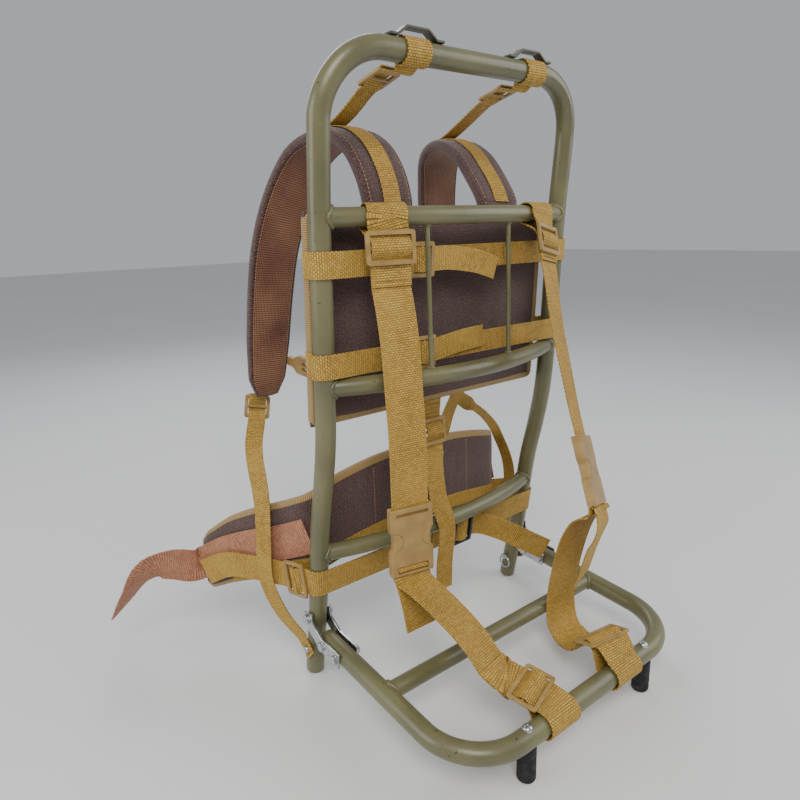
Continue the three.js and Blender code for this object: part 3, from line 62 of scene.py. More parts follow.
# Each crossbar's height, and how far its middle bows to the load
CROSSBARS = {"upper": (615, 30), "middle": (423, 47), "lower": (194, 34)}
SHELF_REACH, SHELF_FRONT, SHELF_RISE, SHELF_CORNER, SHELF_BAR = 232.0, 53.5, 15.0, 75.0, 85.0
SHELF_GAP = 14.0
LEG_PLACE, LEG_RADIUS, TETHER_HEIGHT = 113.0, 11.0, 43.0
BAR_WELD, ROD_WELD = 2.6, 1.6

# The source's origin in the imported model: the rails are even about it, and the shelf's reach is known.
SHIFT = Vector((
    (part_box("frame")[0].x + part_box("frame")[1].x) / 2,
    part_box("shelf")[0].y + (SHELF_REACH + RAIL) * MM,
    0,
))


# Finishes

def linear(code):
    """An sRGB hex colour as Blender's linear one."""
    parts = [int(code[i:i + 2], 16) / 255 for i in (1, 3, 5)]
    return (*[c / 12.92 if c <= 0.04045 else ((c + 0.055) / 1.055) ** 2.4 for c in parts], 1)


def add_node(tree, kind, inputs=None, **settings):
    """Adds a shader node: its settings, then its sockets, each given a value, a hex colour or an output.

    Sockets go by number where their names repeat: a map range takes its value, the range it comes from and
    the range it goes to in 0 to 4, and a colour mix takes its share, first and second colour in 0, 6 and 7.
    """
    made = tree.nodes.new("ShaderNode" + kind)
    for key, value in settings.items():
        setattr(made, key, value)
    for key, value in (inputs or {}).items():
        if isinstance(value, bpy.types.NodeSocket):
            tree.links.new(value, made.inputs[key])
        else:
            made.inputs[key].default_value = linear(value) if isinstance(value, str) else value
    return made


def dress_shader(tree, shader, **sources):
    """Links outputs to the shader's colour, roughness or normal."""
    sockets = {"colour": "Base Color", "gloss": "Roughness", "relief": "Normal"}
    for key, source in sources.items():
        tree.links.new(source, shader.inputs[sockets[key]])


def surface(name, **values):
    """A new material, how nodes are added to it and linked to its shader, and Object and UV coordinates."""
    material = bpy.data.materials.new(name)
    material.use_nodes = True
    tree = material.node_tree
    shader = tree.nodes["Principled BSDF"]
    for key, value in values.items():
        shader.inputs[key.replace("_", " ").title().replace("Ior", "IOR")].default_value = value
    add, dress = partial(add_node, tree), partial(dress_shader, tree, shader)
    place = add("TexCoord").outputs
    return material, add, dress, place["Object"], place["UV"]


def olive_paint():
    """Satin olive enamel on alloy tube: soft gloss, faint orange peel, rubbed paler spots and dark chips."""
    material, add, dress, here, _ = surface("olive_enamel_on_tube", roughness=0.36,
                                            specular_ior_level=0.55, coat_weight=0.25, coat_roughness=0.25)
    clouds = add("TexNoise", {"Vector": here, "Scale": 1 / 0.09, "Detail": 4.0}).outputs[0]
    dust = add("TexNoise", {"Vector": here, "Scale": 1 / 0.004, "Detail": 3.0, "Roughness": 0.7}).outputs[0]
    worn = add("TexNoise", {"Vector": here, "Scale": 1 / 0.0045, "Detail": 2.0,
                            "Roughness": 0.4}).outputs[0]
    grain = add("TexNoise", {"Vector": here, "Scale": 1 / 0.003, "Detail": 2.0}).outputs[0]
    shade = add("MapRange", {0: clouds, 1: 0.35, 2: 0.65}).outputs[0]
    specks = add("MapRange", {0: dust, 1: 0.62, 2: 0.74, 4: 0.35}).outputs[0]
    # Chips of 1 to 2 mm, few of them
    chips = add("MapRange", {0: worn, 1: 0.735, 2: 0.75}).outputs[0]
    tone = add("Mix", {0: shade, 6: "#59573A", 7: "#6E6B47"}, data_type="RGBA").outputs[2]
    tone = add("Mix", {0: specks, 6: tone, 7: "#8B8866"}, data_type="RGBA").outputs[2]
    tone = add("Mix", {0: chips, 6: tone, 7: "#2E2C22"}, data_type="RGBA").outputs[2]
    gloss = add("MapRange", {0: clouds, 1: 0.3, 2: 0.7, 3: 0.3, 4: 0.44}).outputs[0]
    peel = add("Bump", {"Height": grain, "Distance": 0.00008}).outputs[0]
    pits = add("Bump", {"Height": chips, "Distance": -0.00025, "Normal": peel}).outputs[0]
    dress(colour=tone, gloss=gloss, relief=pits)
    return material


def dark_strip_paint():
    """Dark olive enamel on bent flat strip: thin paint, worn to grey in small spots."""
    material, add, dress, here, _ = surface("dark_enamel_on_strip", roughness=0.42, coat_weight=0.15)
    worn = add("TexNoise", {"Vector": here, "Scale": 1 / 0.006, "Detail": 4.0, "Roughness": 0.6}).outputs[0]
    spots = add("MapRange", {0: worn, 1: 0.64, 2: 0.7}).outputs[0]
    tone = add("Mix", {0: spots, 6: "#3A3926", 7: "#77765F"}, data_type="RGBA").outputs[2]
    grain = add("TexNoise", {"Vector": here, "Scale": 1 / 0.002}).outputs[0]
    relief = add("Bump", {"Height": grain, "Distance": 0.00008}).outputs[0]
    dress(colour=tone, relief=relief)
    return material


def zinc():
    """Bright zinc on pressed steel: pale, clouded, with a soft mirror sheen."""
    material, add, dress, here, _ = surface("bright_zinc_on_steel", metallic=1.0, roughness=0.26)
    clouds = add("TexNoise", {"Vector": here, "Scale": 1 / 0.006, "Detail": 3.0}).outputs[0]
    shade = add("MapRange", {0: clouds, 1: 0.35, 2: 0.65}).outputs[0]
    tone = add("Mix", {0: shade, 6: "#AEB1B5", 7: "#CDD0D2"}, data_type="RGBA").outputs[2]
    gloss = add("MapRange", {0: clouds, 1: 0.3, 2: 0.7, 3: 0.22, 4: 0.36}).outputs[0]
    relief = add("Bump", {"Height": clouds, "Distance": 0.00006}).outputs[0]
    dress(colour=tone, gloss=gloss, relief=relief)
    return material


def rubber():
    """Moulded black rubber: matt, dusty grey on its high spots."""
    material, add, dress, here, _ = surface("moulded_rubber", roughness=0.72, specular_ior_level=0.35)
    clouds = add("TexNoise", {"Vector": here, "Scale": 1 / 0.008, "Detail": 4.0,
                              "Roughness": 0.6}).outputs[0]
    dust = add("MapRange", {0: clouds, 1: 0.5, 2: 0.7}).outputs[0]
    tone = add("Mix", {0: dust, 6: "#1C1C20", 7: "#37373C"}, data_type="RGBA").outputs[2]
    grain = add("TexNoise", {"Vector": here, "Scale": 1 / 0.0012, "Detail": 3.0}).outputs[0]
    relief = add("Bump", {"Height": grain, "Distance": 0.00012}).outputs[0]
    dress(colour=tone, relief=relief)
    return material


def woven_webbing(name, dark, mid, light):
    """Nylon webbing: weft ribs across it, each of staggered warp floats, paler where hands have rubbed it.

    Real ribs are about 1.2 mm apart; they are drawn at 2.7 to show at the photograph's distance.
    """
    material, add, dress, here, strip = surface(name, roughness=0.64, sheen_weight=0.25,
                                                sheen_roughness=0.4, specular_ior_level=0.4,
                                                sheen_tint=linear(light))
    # The mortar, in the colour "dark", is painted shade in the gaps between the yarn floats
    floats = add("TexBrick", {
        "Vector": strip, "Scale": 1.0, "Mortar Size": 0.0005, "Mortar Smooth": 0.7, "Bias": 0.0,
        "Brick Width": 0.0042, "Row Height": 0.0027, "Color1": light, "Color2": mid, "Mortar": dark,
    }, offset=0.5)
    clouds = add("TexNoise", {"Vector": here, "Scale": 1 / 0.05, "Detail": 4.0}).outputs[0]
    handled = add("MapRange", {0: clouds, 1: 0.35, 2: 0.68, 4: 0.3}).outputs[0]
    fibres = add("TexNoise", {"Vector": here, "Scale": 1 / 0.0012, "Roughness": 0.7}).outputs[0]
    fuzz = add("MapRange", {0: fibres, 1: 0.55, 2: 0.75, 4: 0.3}).outputs[0]
    tone = add("Mix", {0: handled, 6: floats.outputs["Color"], 7: light}, data_type="RGBA").outputs[2]
    tone = add("Mix", {0: fuzz, 6: tone, 7: light}, data_type="RGBA").outputs[2]
    relief = add("Bump", {"Height": floats.outputs["Fac"], "Distance": -0.0005}).outputs[0]
    dress(colour=tone, relief=relief)
    return material


def moulded_plastic(name, low, high):
    """Glass-filled nylon, injection moulded: fine spark-eroded grain under a low sheen."""
    material, add, dress, here, _ = surface(name, roughness=0.46, specular_ior_level=0.5)
    clouds = add("TexNoise", {"Vector": here, "Scale": 1 / 0.02, "Detail": 3.0}).outputs[0]
    shade = add("MapRange", {0: clouds, 1: 0.3, 2: 0.7}).outputs[0]
    tone = add("Mix", {0: shade, 6: low, 7: high}, data_type="RGBA").outputs[2]
    gloss = add("MapRange", {0: clouds, 1: 0.3, 2: 0.7, 3: 0.38, 4: 0.5}).outputs[0]
    grain = add("TexNoise", {"Vector": here, "Scale": 1 / 0.0009, "Roughness": 0.6}).outputs[0]
    relief = add("Bump", {"Height": grain, "Distance": 0.00007}).outputs[0]
    dress(colour=tone, gloss=gloss, relief=relief)
    return material


def oxford_cloth():
    """Brown polyester oxford: a basket of paired yarns with pale flecks.

    Real pairs are about 0.6 mm apart; they are drawn at 2.4 so that they show.
    """
    material, add, dress, here, cloth = surface("brown_oxford_cloth", roughness=0.82, sheen_weight=0.3,
                                                sheen_roughness=0.5, specular_ior_level=0.3)
    # The mortar, #2A1917, is painted shade in the gaps between the yarn pairs
    basket = add("TexBrick", {
        "Vector": cloth, "Scale": 1.0, "Mortar Size": 0.0005, "Mortar Smooth": 0.8, "Bias": 0.0,
        "Brick Width": 0.0026, "Row Height": 0.0024, "Color1": "#5E413D", "Color2": "#452D2A",
        "Mortar": "#2A1917",
    }, offset=0.5)
    clouds = add("TexNoise", {"Vector": here, "Scale": 1 / 0.06, "Detail": 4.0}).outputs[0]
    handled = add("MapRange", {0: clouds, 1: 0.35, 2: 0.7, 4: 0.4}).outputs[0]
    yarns = add("TexNoise", {"Vector": cloth, "Scale": 1 / 0.0016, "Detail": 1.0,
                             "Roughness": 0.3}).outputs[0]
    flecks = add("MapRange", {0: yarns, 1: 0.58, 2: 0.68, 4: 0.6}).outputs[0]
    folds = add("TexNoise", {"Vector": cloth, "Scale": 1 / 0.03, "Detail": 2.0}).outputs[0]
    tone = add("Mix", {0: handled, 6: basket.outputs["Color"], 7: "#5D4440"}, data_type="RGBA").outputs[2]
    tone = add("Mix", {0: flecks, 6: tone, 7: "#8A6A62"}, data_type="RGBA").outputs[2]
    weave = add("Bump", {"Height": basket.outputs["Fac"], "Distance": -0.0004}).outputs[0]
    relief = add("Bump", {"Height": folds, "Distance": 0.0012, "Normal": weave}).outputs[0]
    dress(colour=tone, relief=relief)
    return material


def spacer_mesh():
    """Copper-brown spacer mesh: knitted, with diamond holes 2.4 by 3.1 mm apart, painted dark as shade."""
    material, add, dress, here, cloth = surface("copper_spacer_mesh", roughness=0.7, sheen_weight=0.3,
                                                specular_ior_level=0.35)
    turned_cloth = add("Mapping", {"Vector": cloth, "Rotation": (0, 0, math.radians(45)),
                                   "Scale": (2 * math.pi / 0.0034, 2 * math.pi / 0.0044, 1)})
    split = add("SeparateXYZ", {0: turned_cloth.outputs[0]}).outputs
    waves = [add("Math", {0: split[i]}, operation="SINE").outputs[0] for i in (0, 1)]
    cells = add("Math", {0: waves[0], 1: waves[1]}, operation="MULTIPLY").outputs[0]
    holes = add("MapRange", {0: cells, 1: -0.02, 2: 0.3}).outputs[0]
    clouds = add("TexNoise", {"Vector": here, "Scale": 1 / 0.05, "Detail": 3.0}).outputs[0]
    handled = add("MapRange", {0: clouds, 1: 0.35, 2: 0.7}).outputs[0]
    knit = add("Mix", {0: handled, 6: "#80492E", 7: "#AB7450"}, data_type="RGBA").outputs[2]
    # The holes' colour, #24120C, is painted shade where the knit opens into the mesh
    tone = add("Mix", {0: holes, 6: knit, 7: "#24120C"}, data_type="RGBA").outputs[2]
    relief = add("Bump", {"Height": holes, "Distance": -0.0009}).outputs[0]
    dress(colour=tone, relief=relief)
    return material


def bound_edge():
    """Tan grosgrain binding: cross ribs, about 1.2 mm apart on real tape and drawn at 2.4."""
    material, add, dress, here, tape = surface("tan_grosgrain_binding", roughness=0.75, sheen_weight=0.2)
    stretched = add("Mapping", {"Vector": tape, "Scale": (1, 2 * math.pi / 0.0024, 1)}).outputs[0]
    split = add("SeparateXYZ", {0: stretched}).outputs
    wave = add("Math", {0: split[1]}, operation="SINE").outputs[0]
    ribs = add("MapRange", {0: wave, 1: -0.7, 2: 0.7}).outputs[0]
    clouds = add("TexNoise", {"Vector": here, "Scale": 1 / 0.03, "Detail": 3.0}).outputs[0]
    handled = add("MapRange", {0: clouds, 1: 0.4, 2: 0.7, 4: 0.5}).outputs[0]
    # The ribs' two colours are painted light on their crests and painted shade in the grooves between them
    tone = add("Mix", {0: ribs, 6: "#7A6134", 7: "#B0925C"}, data_type="RGBA").outputs[2]
    tone = add("Mix", {0: handled, 6: tone, 7: "#99804E"}, data_type="RGBA").outputs[2]
    relief = add("Bump", {"Height": ribs, "Distance": 0.0003}).outputs[0]
    dress(colour=tone, relief=relief)
    return material


def sewing_thread(name, low, high):
    """Bonded polyester thread: smooth, slightly glossy, its plies a little uneven in colour."""
    material, add, dress, here, _ = surface(name, roughness=0.5)
    plies = add("TexNoise", {"Vector": here, "Scale": 1 / 0.001}).outputs[0]
    tone = add("Mix", {0: plies, 6: low, 7: high}, data_type="RGBA").outputs[2]
    dress(colour=tone)
    return material


def floor_paper():
    """Matt pale studio paper."""
    material, add, dress, here, _ = surface("pale_studio_paper", roughness=0.9)
    clouds = add("TexNoise", {"Vector": here, "Scale": 1 / 0.8}).outputs[0]
    tone = add("Mix", {0: clouds, 6: "#D9DADB", 7: "#E0E1E1"}, data_type="RGBA").outputs[2]
    dress(colour=tone)
    return material


OLIVE = olive_paint()
DARK = dark_strip_paint()
ZINC = zinc()
RUBBER = rubber()
WEBBING = woven_webbing("mustard_nylon_webbing", "#6A4F18", "#A98430", "#CBA450")
COPPER_WEBBING = woven_webbing("copper_nylon_webbing", "#6E4230", "#AC6F52", "#CB9272")
TAN = moulded_plastic("tan_glass_filled_nylon", "#8E7040", "#A88A52")
BLACK = moulded_plastic("black_glass_filled_nylon", "#101012", "#1D1D20")
OXFORD = oxford_cloth()
MESH = spacer_mesh()
BINDING = bound_edge()
BROWN_THREAD = sewing_thread("light_brown_sewing_thread", "#8A5F48", "#B99A7A")
DARK_THREAD = sewing_thread("dark_mustard_sewing_thread", "#4A3410", "#6A4E1C")


# Routes

def smooth(points, count):
    """A centripetal curve through the points, cut evenly into "count" steps."""
    ends = [points[0] * 2 - points[1], *points, points[-1] * 2 - points[-2]]
    made = []
    for i in range(count + 1):
        place = i / count * (len(points) - 1)
        k = min(int(place), len(points) - 2)
        t = place - k
        a, b, c, d = ends[k:k + 4]
        steps = [max((q - p).length, 1e-6) ** 0.5 for p, q in ((a, b), (b, c), (c, d))]
        leave = ((b - a) / steps[0] - (c - a) / (steps[0] + steps[1]) + (c - b) / steps[1]) * steps[1]
        reach = ((c - b) / steps[1] - (d - b) / (steps[1] + steps[2]) + (d - c) / steps[2]) * steps[1]
        made.append(b + leave * t + (3 * (c - b) - 2 * leave - reach) * t ** 2
                    + (2 * (b - c) + leave + reach) * t ** 3)
    return made


class Station:
    """A place on a route, with its own axes and the section's size there."""

    def __init__(self, point, along, across, wide=1.0, thick=1.0):
        self.point, self.along = point, along
        self.across = (across - along * across.dot(along)).normalized()
        self.face = along.cross(self.across)
        self.wide, self.thick = wide, thick

    def spot(self, x, y):
        """Where a place in the section lies here."""
        return self.point + self.across * x * self.wide + self.face * y * self.thick


def route(points, sides, wides=None, thicks=None):
    """Stations along the points, with one side for all or one for each, and sizes as shares."""
    last = len(points) - 1
    made = []
    for i, point in enumerate(points):
        along = (points[min(i + 1, last)] - points[max(i - 1, 0)]).normalized()
        side = sides[i] if isinstance(sides, list) else sides
        made.append(Station(point, along, side, wides[i] if wides else 1, thicks[i] if thicks else 1))
    return made


def between(values, place):
    """The value at a fractional place in a list."""
    k = max(0, min(int(place), len(values) - 2))
    return values[k] + (values[k + 1] - values[k]) * (place - k)


def finer(stations, steps):
    """The same route with "steps" stations for each of its own, on one smooth curve."""
    points = [station.point for station in stations]
    count = (len(points) - 1) * steps
    sides = [between([station.across for station in stations], i / steps) for i in range(count + 1)]
    wides = [between([station.wide for station in stations], i / steps) for i in range(count + 1)]
    thicks = [between([station.thick for station in stations], i / steps) for i in range(count + 1)]
    return route(smooth(points, count), sides, wides, thicks)


# An edge as long as a strap's thickness, or as its width, to within these shares, crosses the strap
RUNG_SLACK, NARROWEST, WIDEST = 0.006, 0.996, 1.004
# Two ladders whose starts lie further apart than this share of the width run opposite ways
FAR_APART, ENDS_DIFFER = 1.2, 0.4


def webbing_route(name, width, thickness, narrowest=NARROWEST):
    """The stations of a strap's solid: along each side runs a ladder of edges through its thickness."""
    shape = bmesh.new()
    shape.from_mesh(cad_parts[name].data)
    bmesh.ops.remove_doubles(shape, verts=shape.verts, dist=1e-6)
    shape.edges.index_update()
    rungs = [edge for edge in shape.edges
             if abs(edge.calc_length() / MM - thickness) < thickness * RUNG_SLACK]
    owners = {}
    for edge in rungs:
        for vert in edge.verts:
            owners.setdefault(vert, []).append(edge)

    def beside(edge, other):
        """Whether a face along one rung touches the other."""
        return any(set(face.verts) & set(other.verts) for face in edge.link_faces)

    def side_by_side(edge, other):
        """Whether an edge leads from each end of one rung to its own end of the other."""
        return any(all(shape.edges.get(pair) for pair in zip(edge.verts, order))
                   for order in (other.verts, tuple(reversed(other.verts))))

    def next_rungs(edge):
        """The rungs on the same side that both ends of this one lead to."""
        found = []
        for vert in edge.verts:
            reach = {link.other_vert(vert): link.calc_length() / MM for link in vert.link_edges}
            found.append({other for there, long in reach.items()
                          if not narrowest * width < long < WIDEST * width
                          for other in owners.get(there, []) if other is not edge
                          and not set(other.verts) & set(edge.verts)})
        near = [other for other in found[0] & found[1]
                if (beside(edge, other) or beside(other, edge)) and side_by_side(edge, other)]
        return sorted(near, key=lambda other: other.index)

    ways_on = {edge: next_rungs(edge) for edge in rungs}
    ladders, seen = [], set()
    for start in sorted((edge for edge in rungs if len(ways_on[edge]) == 1), key=lambda edge: edge.index):
        if start in seen:
            continue
        ladder = [start]
        while True:
            ahead = [edge for edge in ways_on[ladder[-1]] if edge not in ladder]
            if not ahead:
                break
            ladder.append(ahead[0])
        seen |= set(ladder)
        ladders.append([(edge.verts[0].co + edge.verts[1].co) / 2 for edge in ladder])
    shape.free()
    ladders.sort(key=len, reverse=True)
    lefts, rights = ladders[:2]
    if len(lefts) != len(rights):
        raise ValueError(f"{name}: its sides have {[len(ladder) for ladder in ladders]} rungs")
    first, last = ((rights[k] - lefts[k]).length / MM / width for k in (0, -1))
    if abs(first - last) > ENDS_DIFFER or first > FAR_APART:
        rights.reverse()
    points = [((left + right) / 2 - SHIFT) / MM for left, right in zip(lefts, rights)]
    sides = [(right - left).normalized() for left, right in zip(lefts, rights)]
    return route(points, sides, [(right - left).length / MM / width for left, right in zip(lefts, rights)])


# Shapes

def ring_section(radius, parts=28):
    """A round bar."""
    return [(radius * math.cos(2 * math.pi * i / parts), radius * math.sin(2 * math.pi * i / parts))
            for i in range(parts)]


def tape_section(width, thickness, rim=0.5):
    """A flat woven tape: rounded selvedges that stand a hair proud of its middle."""
    half, flat = width / 2, thickness / 2
    rows = [(half, flat * 0.3), (half - rim, flat), (half - 3 * rim, flat * 0.96), (half * 0.45, flat * 0.9)]
    upper = rows + [(-x, y) for x, y in reversed(rows)]
    return upper + [(-x, -y) for x, y in upper]


# A pad's thickness at its sewn edge, what it gains inward, and how far in it is full, all as shares
SEWN_THICK, GAIN, FULL_AT = 0.42, 0.58, 0.3


def fullness(inward):
    """A pad's thickness, as a share of its most, at a share of half its width in from the edge."""
    return SEWN_THICK + GAIN * min(1, inward / FULL_AT) ** 0.5


def pad_section(width, thickness, parts=15):
    """A laminated pad: full in the middle, drawn thin at its two sewn edges."""
    half = width / 2
    upper = []
    for i in range(parts + 1):
        x = half * math.cos(math.pi * i / parts)
        upper.append((x, thickness / 2 * fullness(max(0.0, 1 - abs(x) / half))))
    return upper + [(-x, -y) for x, y in upper]


def sweep(section, stations, faces=None, closed=False):
    """Extrudes a section from station to station. UV is metres across the section and along the route."""
    shape = bmesh.new()
    layer = shape.loops.layers.uv.new("UVMap")
    verts = [shape.verts.new(stations[0].spot(*place)) for place in section]
    ring = [shape.edges.new((verts[i - 1], verts[i])) for i in range(len(verts))]
    start = list(ring)
    far, spots = 0.0, {vert: (x, 0.0) for vert, (x, _) in zip(verts, section)}
    columns = {vert: i for i, vert in enumerate(verts)}
    for before, station in zip(stations, stations[1:]):
        far += (station.point - before.point).length
        made = bmesh.ops.extrude_edge_only(shape, edges=ring)["geom"]
        verts = [item for item in made if isinstance(item, bmesh.types.BMVert)]
        new = set(verts)
        ring = [item for item in made if isinstance(item, bmesh.types.BMEdge) and set(item.verts) <= new]
        for i, (vert, (x, y)) in enumerate(zip(verts, section)):
            vert.co = station.spot(x, y)
            spots[vert] = (x, far)
            columns[vert] = i
    if closed:
        bmesh.ops.bridge_loops(shape, edges=start + ring)
    else:
        bmesh.ops.contextual_create(shape, geom=start)
        bmesh.ops.contextual_create(shape, geom=ring)
    for face in shape.faces:
        for loop in face.loops:
            x, y = spots[loop.vert]
            loop[layer].uv = (x * MM, y * MM)
        if faces:
            face.material_index = faces([columns[vert] for vert in face.verts])
    bmesh.ops.recalc_face_normals(shape, faces=shape.faces)
    return shape


def gather(*shapes):
    """Puts several shapes in one, as bodies of their own."""
    whole = shapes[0]
    for shape in shapes[1:]:
        mesh = bpy.data.meshes.new("part")
        shape.to_mesh(mesh)
        whole.from_mesh(mesh)
        bpy.data.meshes.remove(mesh)
        shape.free()
    return whole


def turned(profile, origin, axis, parts=32):
    """Spins a profile of (radius, height) round an axis through the origin."""
    shape = bmesh.new()
    line = [shape.verts.new((radius, 0, height)) for radius, height in profile]
    edges = [shape.edges.new(pair) for pair in zip(line, line[1:])]
    bmesh.ops.spin(shape, geom=line + edges, axis=Z, cent=(0, 0, 0), angle=2 * math.pi, steps=parts,
                   use_merge=True)
    bmesh.ops.remove_doubles(shape, verts=shape.verts, dist=1e-4)
    bmesh.ops.recalc_face_normals(shape, faces=shape.faces)
    bmesh.ops.transform(shape, verts=shape.verts,
                        matrix=Matrix.Translation(origin) @ Z.rotation_difference(axis).to_matrix().to_4x4())
    return shape


# Flat pieces are shaded smooth only across edges flatter than this, in degrees, so that faces stay flat
FACETED = 14


def softened(name, width, segments=2, angle=28, join=True):
    """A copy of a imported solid, its flat faces joined unless told not to, and its edges rounded."""
    shape = bmesh.new()
    shape.from_mesh(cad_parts[name].data)
    bmesh.ops.remove_doubles(shape, verts=shape.verts, dist=1e-6)
    if join:
        bmesh.ops.dissolve_limit(shape, angle_limit=math.radians(1), verts=shape.verts, edges=shape.edges)
    back = Matrix.Scale(1 / MM, 4) @ Matrix.Translation(-SHIFT)
    bmesh.ops.transform(shape, verts=shape.verts, matrix=back)
    sharp = [edge for edge in shape.edges if edge.is_manifold
             and edge.calc_face_angle(0) > math.radians(angle)]
    bmesh.ops.bevel(shape, geom=sharp, offset=width, offset_type="OFFSET", affect="EDGES", segments=segments,
                    profile=0.5, material=-1, clamp_overlap=True)
    return shape


def carved(shape, cutters):
    """The shape with the cutters' room taken out of it."""
    pieces = []
    for each in (shape, gather(*cutters)):
        mesh = bpy.data.meshes.new("carving")
        each.to_mesh(mesh)
        each.free()
        pieces.append(bpy.data.objects.new("carving", mesh))
        bpy.context.scene.collection.objects.link(pieces[-1])
    body, tool = pieces
    cut = body.modifiers.new("carve", "BOOLEAN")
    cut.operation, cut.solver, cut.object = "DIFFERENCE", "EXACT", tool
    result = bmesh.new()
    result.from_object(body, bpy.context.evaluated_depsgraph_get())
    for piece in pieces:
        mesh = piece.data
        bpy.data.objects.remove(piece)
        bpy.data.meshes.remove(mesh)
    return result


def block(centre, axes, size):
    """A rectangular block along three axes."""
    shape = bmesh.new()
    bmesh.ops.create_cube(shape, size=1, matrix=Matrix.Translation(centre)
                          @ Matrix(axes).transposed().to_4x4() @ Matrix.Diagonal((*size, 1)))
    return shape


# Stitches in pads and across webbing, mm: from one to the next, length and width
PAD_STITCH, WEB_STITCH = (4.6, 3.0, 0.8), (3.4, 2.3, 0.6)


def stitches(stations, x, y, sizes=PAD_STITCH):
    """A row of sewn stitches at one place in the section, as small raised bars."""
    pitch, long, wide = sizes
    shape = bmesh.new()
    far, due = 0.0, pitch
    for before, station in zip(stations, stations[1:]):
        gap = (station.point - before.point).length
        while far + gap >= due:
            mix = (due - far) / gap
            centre = before.spot(x, y).lerp(station.spot(x, y), mix)
            axes = Matrix((station.across, station.along, station.face)).transposed().to_4x4()
            size = Matrix.Diagonal((wide, long, wide * 0.7, 1))
            bmesh.ops.create_cube(shape, size=1, matrix=Matrix.Translation(centre) @ axes @ size)
            due += pitch
        far += gap
    return shape


def seam(middle, way, side, long):
    """A straight row of stitches through a point."""
    steps = [middle + way * long * (i / 20 - 0.5) for i in range(21)]
    return stitches([Station(point, way, side) for point in steps], 0, 0, WEB_STITCH)


def finished(name, shape, materials, node=None, sharp=40):
    """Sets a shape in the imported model's place, in metres, under its name and finishes."""
    bmesh.ops.transform(shape, verts=shape.verts, matrix=Matrix.Translation(SHIFT) @ Matrix.Scale(MM, 4))
    mesh = bpy.data.meshes.new(name)
    shape.to_mesh(mesh)
    shape.free()
    mesh.shade_smooth()
    mesh.set_sharp_from_angle(angle=math.radians(sharp))
    for material in materials if isinstance(materials, list) else [materials]:
        mesh.materials.append(material)
    piece = bpy.data.objects.new(name, mesh)
    bpy.context.scene.collection.objects.link(piece)
    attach(piece, "root")
    if node:
        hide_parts(node)
    return piece


# Camera at the photograph's viewing angle

CAMERA_SPOT = Vector((-574.48, -618.85, 602.38))
YAW, PITCH, ROLL = math.radians(37.68), math.radians(15.03), math.radians(-1.79)
# The focal length and the photograph's side in pixels, and Blender's sensor in mm
FOCUS, PHOTO_SIDE, SENSOR = 642.64, 800, 36


def add_camera():
    ahead = Vector((math.sin(YAW) * math.cos(PITCH), math.cos(YAW) * math.cos(PITCH), -math.sin(PITCH)))
    right = ahead.cross(Z).normalized()
    up = right.cross(ahead)
    across = right * math.cos(ROLL) + up * math.sin(ROLL)
    upright = up * math.cos(ROLL) - right * math.sin(ROLL)
    camera = bpy.data.objects.new("camera", bpy.data.cameras.new("camera"))
    camera.data.sensor_width = SENSOR
    camera.data.lens = SENSOR * FOCUS / PHOTO_SIDE
    turn = Matrix((across, upright, -ahead)).transposed().to_4x4()
    camera.matrix_world = Matrix.Translation(CAMERA_SPOT * MM + SHIFT) @ turn
    bpy.context.scene.collection.objects.link(camera)
    bpy.context.scene.camera = camera


add_camera()


# Welded frame

def rail_y(height):
    """Where the rails' middle line lies from load side to wearer's side at a height."""
    share = max(0, min(1, height / TOP))
    for (low, lean), (high, next_lean) in zip(LEAN, LEAN[1:]):
        if share <= high:
            return (lean + (next_lean - lean) * (share - low) / (high - low)) * FOOT_OFFSET
    return LEAN[-1][1] * FOOT_OFFSET


def rail_point(hand, height):
    """A point on a rail's middle line; hand is -1 for the left and 1 for the right."""
    return Vector((hand * HALF_SPACING, rail_y(height), height))


def cross_point(x, height, bow):
    """A point on a crossbar's middle line, bowed to the load side."""
    return Vector((x, rail_y(height) - bow * (1 - (x / HALF_SPACING) ** 2), height))


def tube_ends(stations, radius):
    """Rounds a tube's two rims over."""
    # How far in from the end, as a share of the rim, and the tube's size there
    rows = ((0, 0.84), (0.3, 0.94), (1, 1))
    rim = radius * (1 - rows[0][1])

    def shrunk(station, way, size):
        return Station(station.point + station.along * way, station.along, station.across, size, size)

    first, last = stations[0], stations[-1]
    return ([shrunk(first, rim * back, size) for back, size in rows] + stations[1:-1]
            + [shrunk(last, -rim * back, size) for back, size in reversed(rows)])


def hoop_line():
    """The bent tube's middle line: up the left rail, over the top and down the right one."""
    base = TOP - HOOP_CORNER
    # The leaning feet are lifted until their lower rims stand on the floor
    share, lean = LEAN[1]
    foot = RAIL * 0.7 * math.sin(math.atan(FOOT_OFFSET * (1 - lean) / (TOP * share)))
    heights = [foot] + [share * TOP for share, _ in LEAN[1:] if share * TOP < base]
    rise = smooth([rail_point(-1, height) for height in heights + [base]], 48)[:-1]
    arc = []
    for i in range(19):
        angle = i / 18 * math.pi / 2
        height = base + HOOP_CORNER * math.sin(angle)
        arc.append(Vector((-HALF_SPACING + HOOP_CORNER * (1 - math.cos(angle)), rail_y(height), height)))
    left = rise + arc
    return left + [Vector((-point.x, point.y, point.z)) for point in reversed(left)]


BEAD_STEPS = 60


